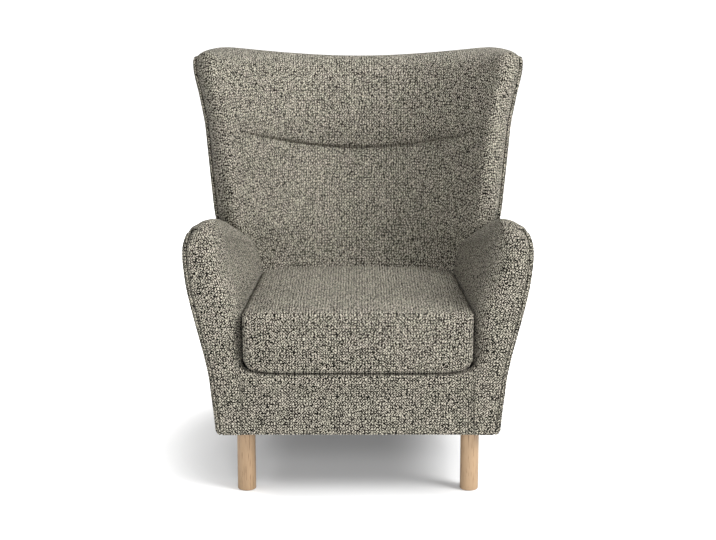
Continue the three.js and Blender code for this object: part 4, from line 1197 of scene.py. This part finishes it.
# Pieces on the frame
def dress_upholstery():
    slot = "woven_fabric"
    back = finish_piece(inside_back(), FABRIC, slot, "inside_back")
    panel = finish_piece(outside_back(), FABRIC, slot, "outside_back")
    crease(panel)
    finish_piece(back_welt(), FABRIC, slot, "back_piping")
    makers = [(inside_arm, "arm_upholstery", "inside_arm"), (outside_arm, "arm_panel", "outside_arm"),
              (arm_welt, "arm_welt", "arm_piping")]
    for maker, name, stood_for in makers:
        right = maker()
        crease(right)
        left = mirrored(right, name + "_left")
        finish_piece(right, FABRIC, slot, stood_for + "_right")
        finish_piece(left, FABRIC, slot, stood_for + "_left")
    border = finish_piece(front_border(), FABRIC, slot, "front_border")
    crease(border)
    seat = finish_piece(cushion(), FABRIC, slot, "seat_cushion_cover", "seat_cushion_core", body=CUSHION_BODY)
    deck = finish_piece(seat_deck(), LINING, "lining_fabric", "seat_deck")
    crease(deck)
    dust = finish_piece(dust_cover(), LINING, "lining_fabric", "dust_cover")
    crease(dust)


def dress_legs():
    for side, x in (("right", LEG_X), ("left", -LEG_X)):
        for end, y in (("front", LEG_FRONT_Y), ("rear", LEG_REAR_Y)):
            place = end + "_" + side
            finish_piece(leg("leg_turned_" + place, x, y), BEECH, "leg_wood", "leg_" + place)
            finish_piece(glide("glide_disc_" + place, x, y), PLASTIC, "glide_plastic", "glide_" + place)


def dress_frame():
    uprights = ("back_post", "arm_stump", "corner_block", "wing_frame")
    for name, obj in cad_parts.items():
        if obj.hide_render:
            continue
        if name.startswith(("leg_bolt", "leg_nut", "seat_spring")):
            material = STEEL
        elif name.startswith(uprights):
            material = FRAME_WOOD["z"]
        elif name.startswith(("side_rail", "arm_rail", "arm_board")):
            material = FRAME_WOOD["y"]
        else:
            material = FRAME_WOOD["x"]
        obj.data.materials.clear()
        obj.data.materials.append(material)


# Upright webbing on the fronts of the back rails, ridged along its length
def webbing_strap(name, low, high):
    across = np.linspace(low.x, high.x, RIDGE_STEPS * STRAP_RIDGES + 1) / MM
    up = np.linspace(low.z, high.z, STRAP_ROWS) / MM
    start = low.y / MM - DEPTH_SHIFT - inner_wall(*np.meshgrid(across, up)).min()

    def at(u, v, s):
        x, z = mix(across[0], across[-1], u), mix(up[0], up[-1], v)
        ridge = STRAP_RIDGE * (1 - np.cos(u * STRAP_RIDGES * 2 * math.pi)) / 2
        return x, start + inner_wall(x, z) + np.where(s > 0, STRAP_THICK - ridge, ridge), z

    rise = inner_wall(np.full_like(up, across.mean()), up)
    length = np.hypot(np.diff(up), np.diff(rise)).sum() * MM
    return block(name, at, np.linspace(0, 1, len(across)), np.linspace(0, 1, len(up)), [0, 1]), length


def dress_straps():
    for number in (1, 2, 3):
        node_name = "back_strap_%d" % number
        low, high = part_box(node_name)
        strap, length = webbing_strap("webbing_strap_%d" % number, low, high)
        finish_piece(strap, WEBBING, "lining_fabric", node_name)


dress_upholstery()
dress_legs()
dress_straps()
dress_frame()

# Camera of the photograph
FOCAL_PIXELS = 1620
IMAGE_WIDTH = 716
SENSOR = 36
CAMERA_BACK = 3754
CAMERA_HEIGHT = 1441.6
CAMERA_PITCH = 13


def make_camera():
    data = bpy.data.cameras.new("camera")
    data.sensor_width = SENSOR
    data.lens = SENSOR * FOCAL_PIXELS / IMAGE_WIDTH
    camera = new_object("camera", data)
    camera.location = (0, (DEPTH_SHIFT - CHAIR_FRONT - CAMERA_BACK) * MM, CAMERA_HEIGHT * MM)
    camera.rotation_euler = (math.radians(90 - CAMERA_PITCH), 0, 0)
    bpy.context.scene.camera = camera


# Studio: a pale floor with painted light on it, a glow seen by camera and glossy rays that is faint at the chair and
# lifts the floor to white away from the chair's shadow, washing the cast shadow out there; and a white surround
FLOOR_RADIUS = 60
FLOOR_COLOUR = (0.8, 0.8, 0.8)
FLOOR_PAINTED_GLOW = (0.08, 1.0)
GLOW_START = 0.4
GLOW_END = 0.76


def seen_ray(tree):
    path = add_node(tree, "LightPath")
    return math_node(tree, "MAXIMUM", path.outputs["Is Camera Ray"], path.outputs["Is Glossy Ray"])


def make_floor():
    mesh = bpy.data.meshes.new("floor")
    r = FLOOR_RADIUS
    mesh.from_pydata([(-r, -r, 0), (r, -r, 0), (r, r, 0), (-r, r, 0)], [], [(0, 1, 2, 3)])
    floor = new_object("floor", mesh)
    material, tree, shader = start_material("floor")
    shader.inputs["Base Color"].default_value = (*FLOOR_COLOUR, 1)
    shader.inputs["Roughness"].default_value = 1
    shader.inputs["Specular IOR Level"].default_value = 0
    spread = add_node(tree, "VectorMath")
    spread.operation = "LENGTH"
    tree.links.new(coordinates(tree, "Object"), spread.inputs[0])
    zone = add_node(tree, "MapRange")
    zone.interpolation_type = "SMOOTHSTEP"
    for slot, value in zip(list(zone.inputs)[1:5], (GLOW_START, GLOW_END, *FLOOR_PAINTED_GLOW)):
        slot.default_value = value
    tree.links.new(spread.outputs["Value"], zone.inputs[0])
    # Painted light: this glow is faint near the chair, which lightens the shadow under it, and rises to white
    # farther out, where it washes out the chair's cast shadow
    glow = add_node(tree, "Emission")
    tree.links.new(math_node(tree, "MULTIPLY", seen_ray(tree), zone.outputs[0]), glow.inputs["Strength"])
    total = add_node(tree, "AddShader")
    tree.links.new(shader.outputs[0], total.inputs[0])
    tree.links.new(glow.outputs[0], total.inputs[1])
    tree.links.new(total.outputs[0], tree.nodes["Material Output"].inputs["Surface"])
    mesh.materials.append(material)


WORLD_LIGHT = 0.33


def make_world():
    world = bpy.data.worlds.new("studio")
    bpy.context.scene.world = world
    world.use_nodes = True
    tree = world.node_tree
    background = tree.nodes["Background"]
    background.inputs["Color"].default_value = (1, 1, 1, 1)
    extra = math_node(tree, "MULTIPLY", seen_ray(tree), 1 - WORLD_LIGHT)
    strength = math_node(tree, "ADD", WORLD_LIGHT, extra)
    tree.links.new(strength, background.inputs["Strength"])


LAMP_TARGET = (0, 0, 0.55)
LAMP_DISTANCE = 4.5
LAMP_LOWEST = 0.9

# Name, turn from the front towards +X, height angle, size and power
LAMPS = [
    ("key", 60, 35, 2.2, 220),
    ("front", 0, 14, 2, 120),
    ("side", 90, 58, 2, 120),
    ("fill", -90, 50, 2, 60),
    ("top", 0, 88, 2, 16),
    ("rear", 180, 35, 2, 60),
]


def lamp(name, turn, rise, size, power):
    turn, rise = math.radians(turn), math.radians(rise)
    away = np.array([math.sin(turn) * math.cos(rise), -math.cos(turn) * math.cos(rise), math.sin(rise)])
    place = np.array(LAMP_TARGET) + away * LAMP_DISTANCE
    place[2] = max(place[2], LAMP_LOWEST)
    data = bpy.data.lights.new(name, "AREA")
    data.shape = "DISK"
    data.size = size
    data.energy = power
    obj = new_object(name, data)
    obj.location = place
    way = np.array(LAMP_TARGET) - place
    tilt, heading = math.atan2(math.hypot(way[0], way[1]), -way[2]), math.atan2(way[1], way[0])
    obj.rotation_euler = (tilt, 0, heading - math.pi / 2)


make_camera()
make_floor()
make_world()
for settings in LAMPS:
    lamp(*settings)
bpy.context.scene.view_settings.view_transform = "Standard"
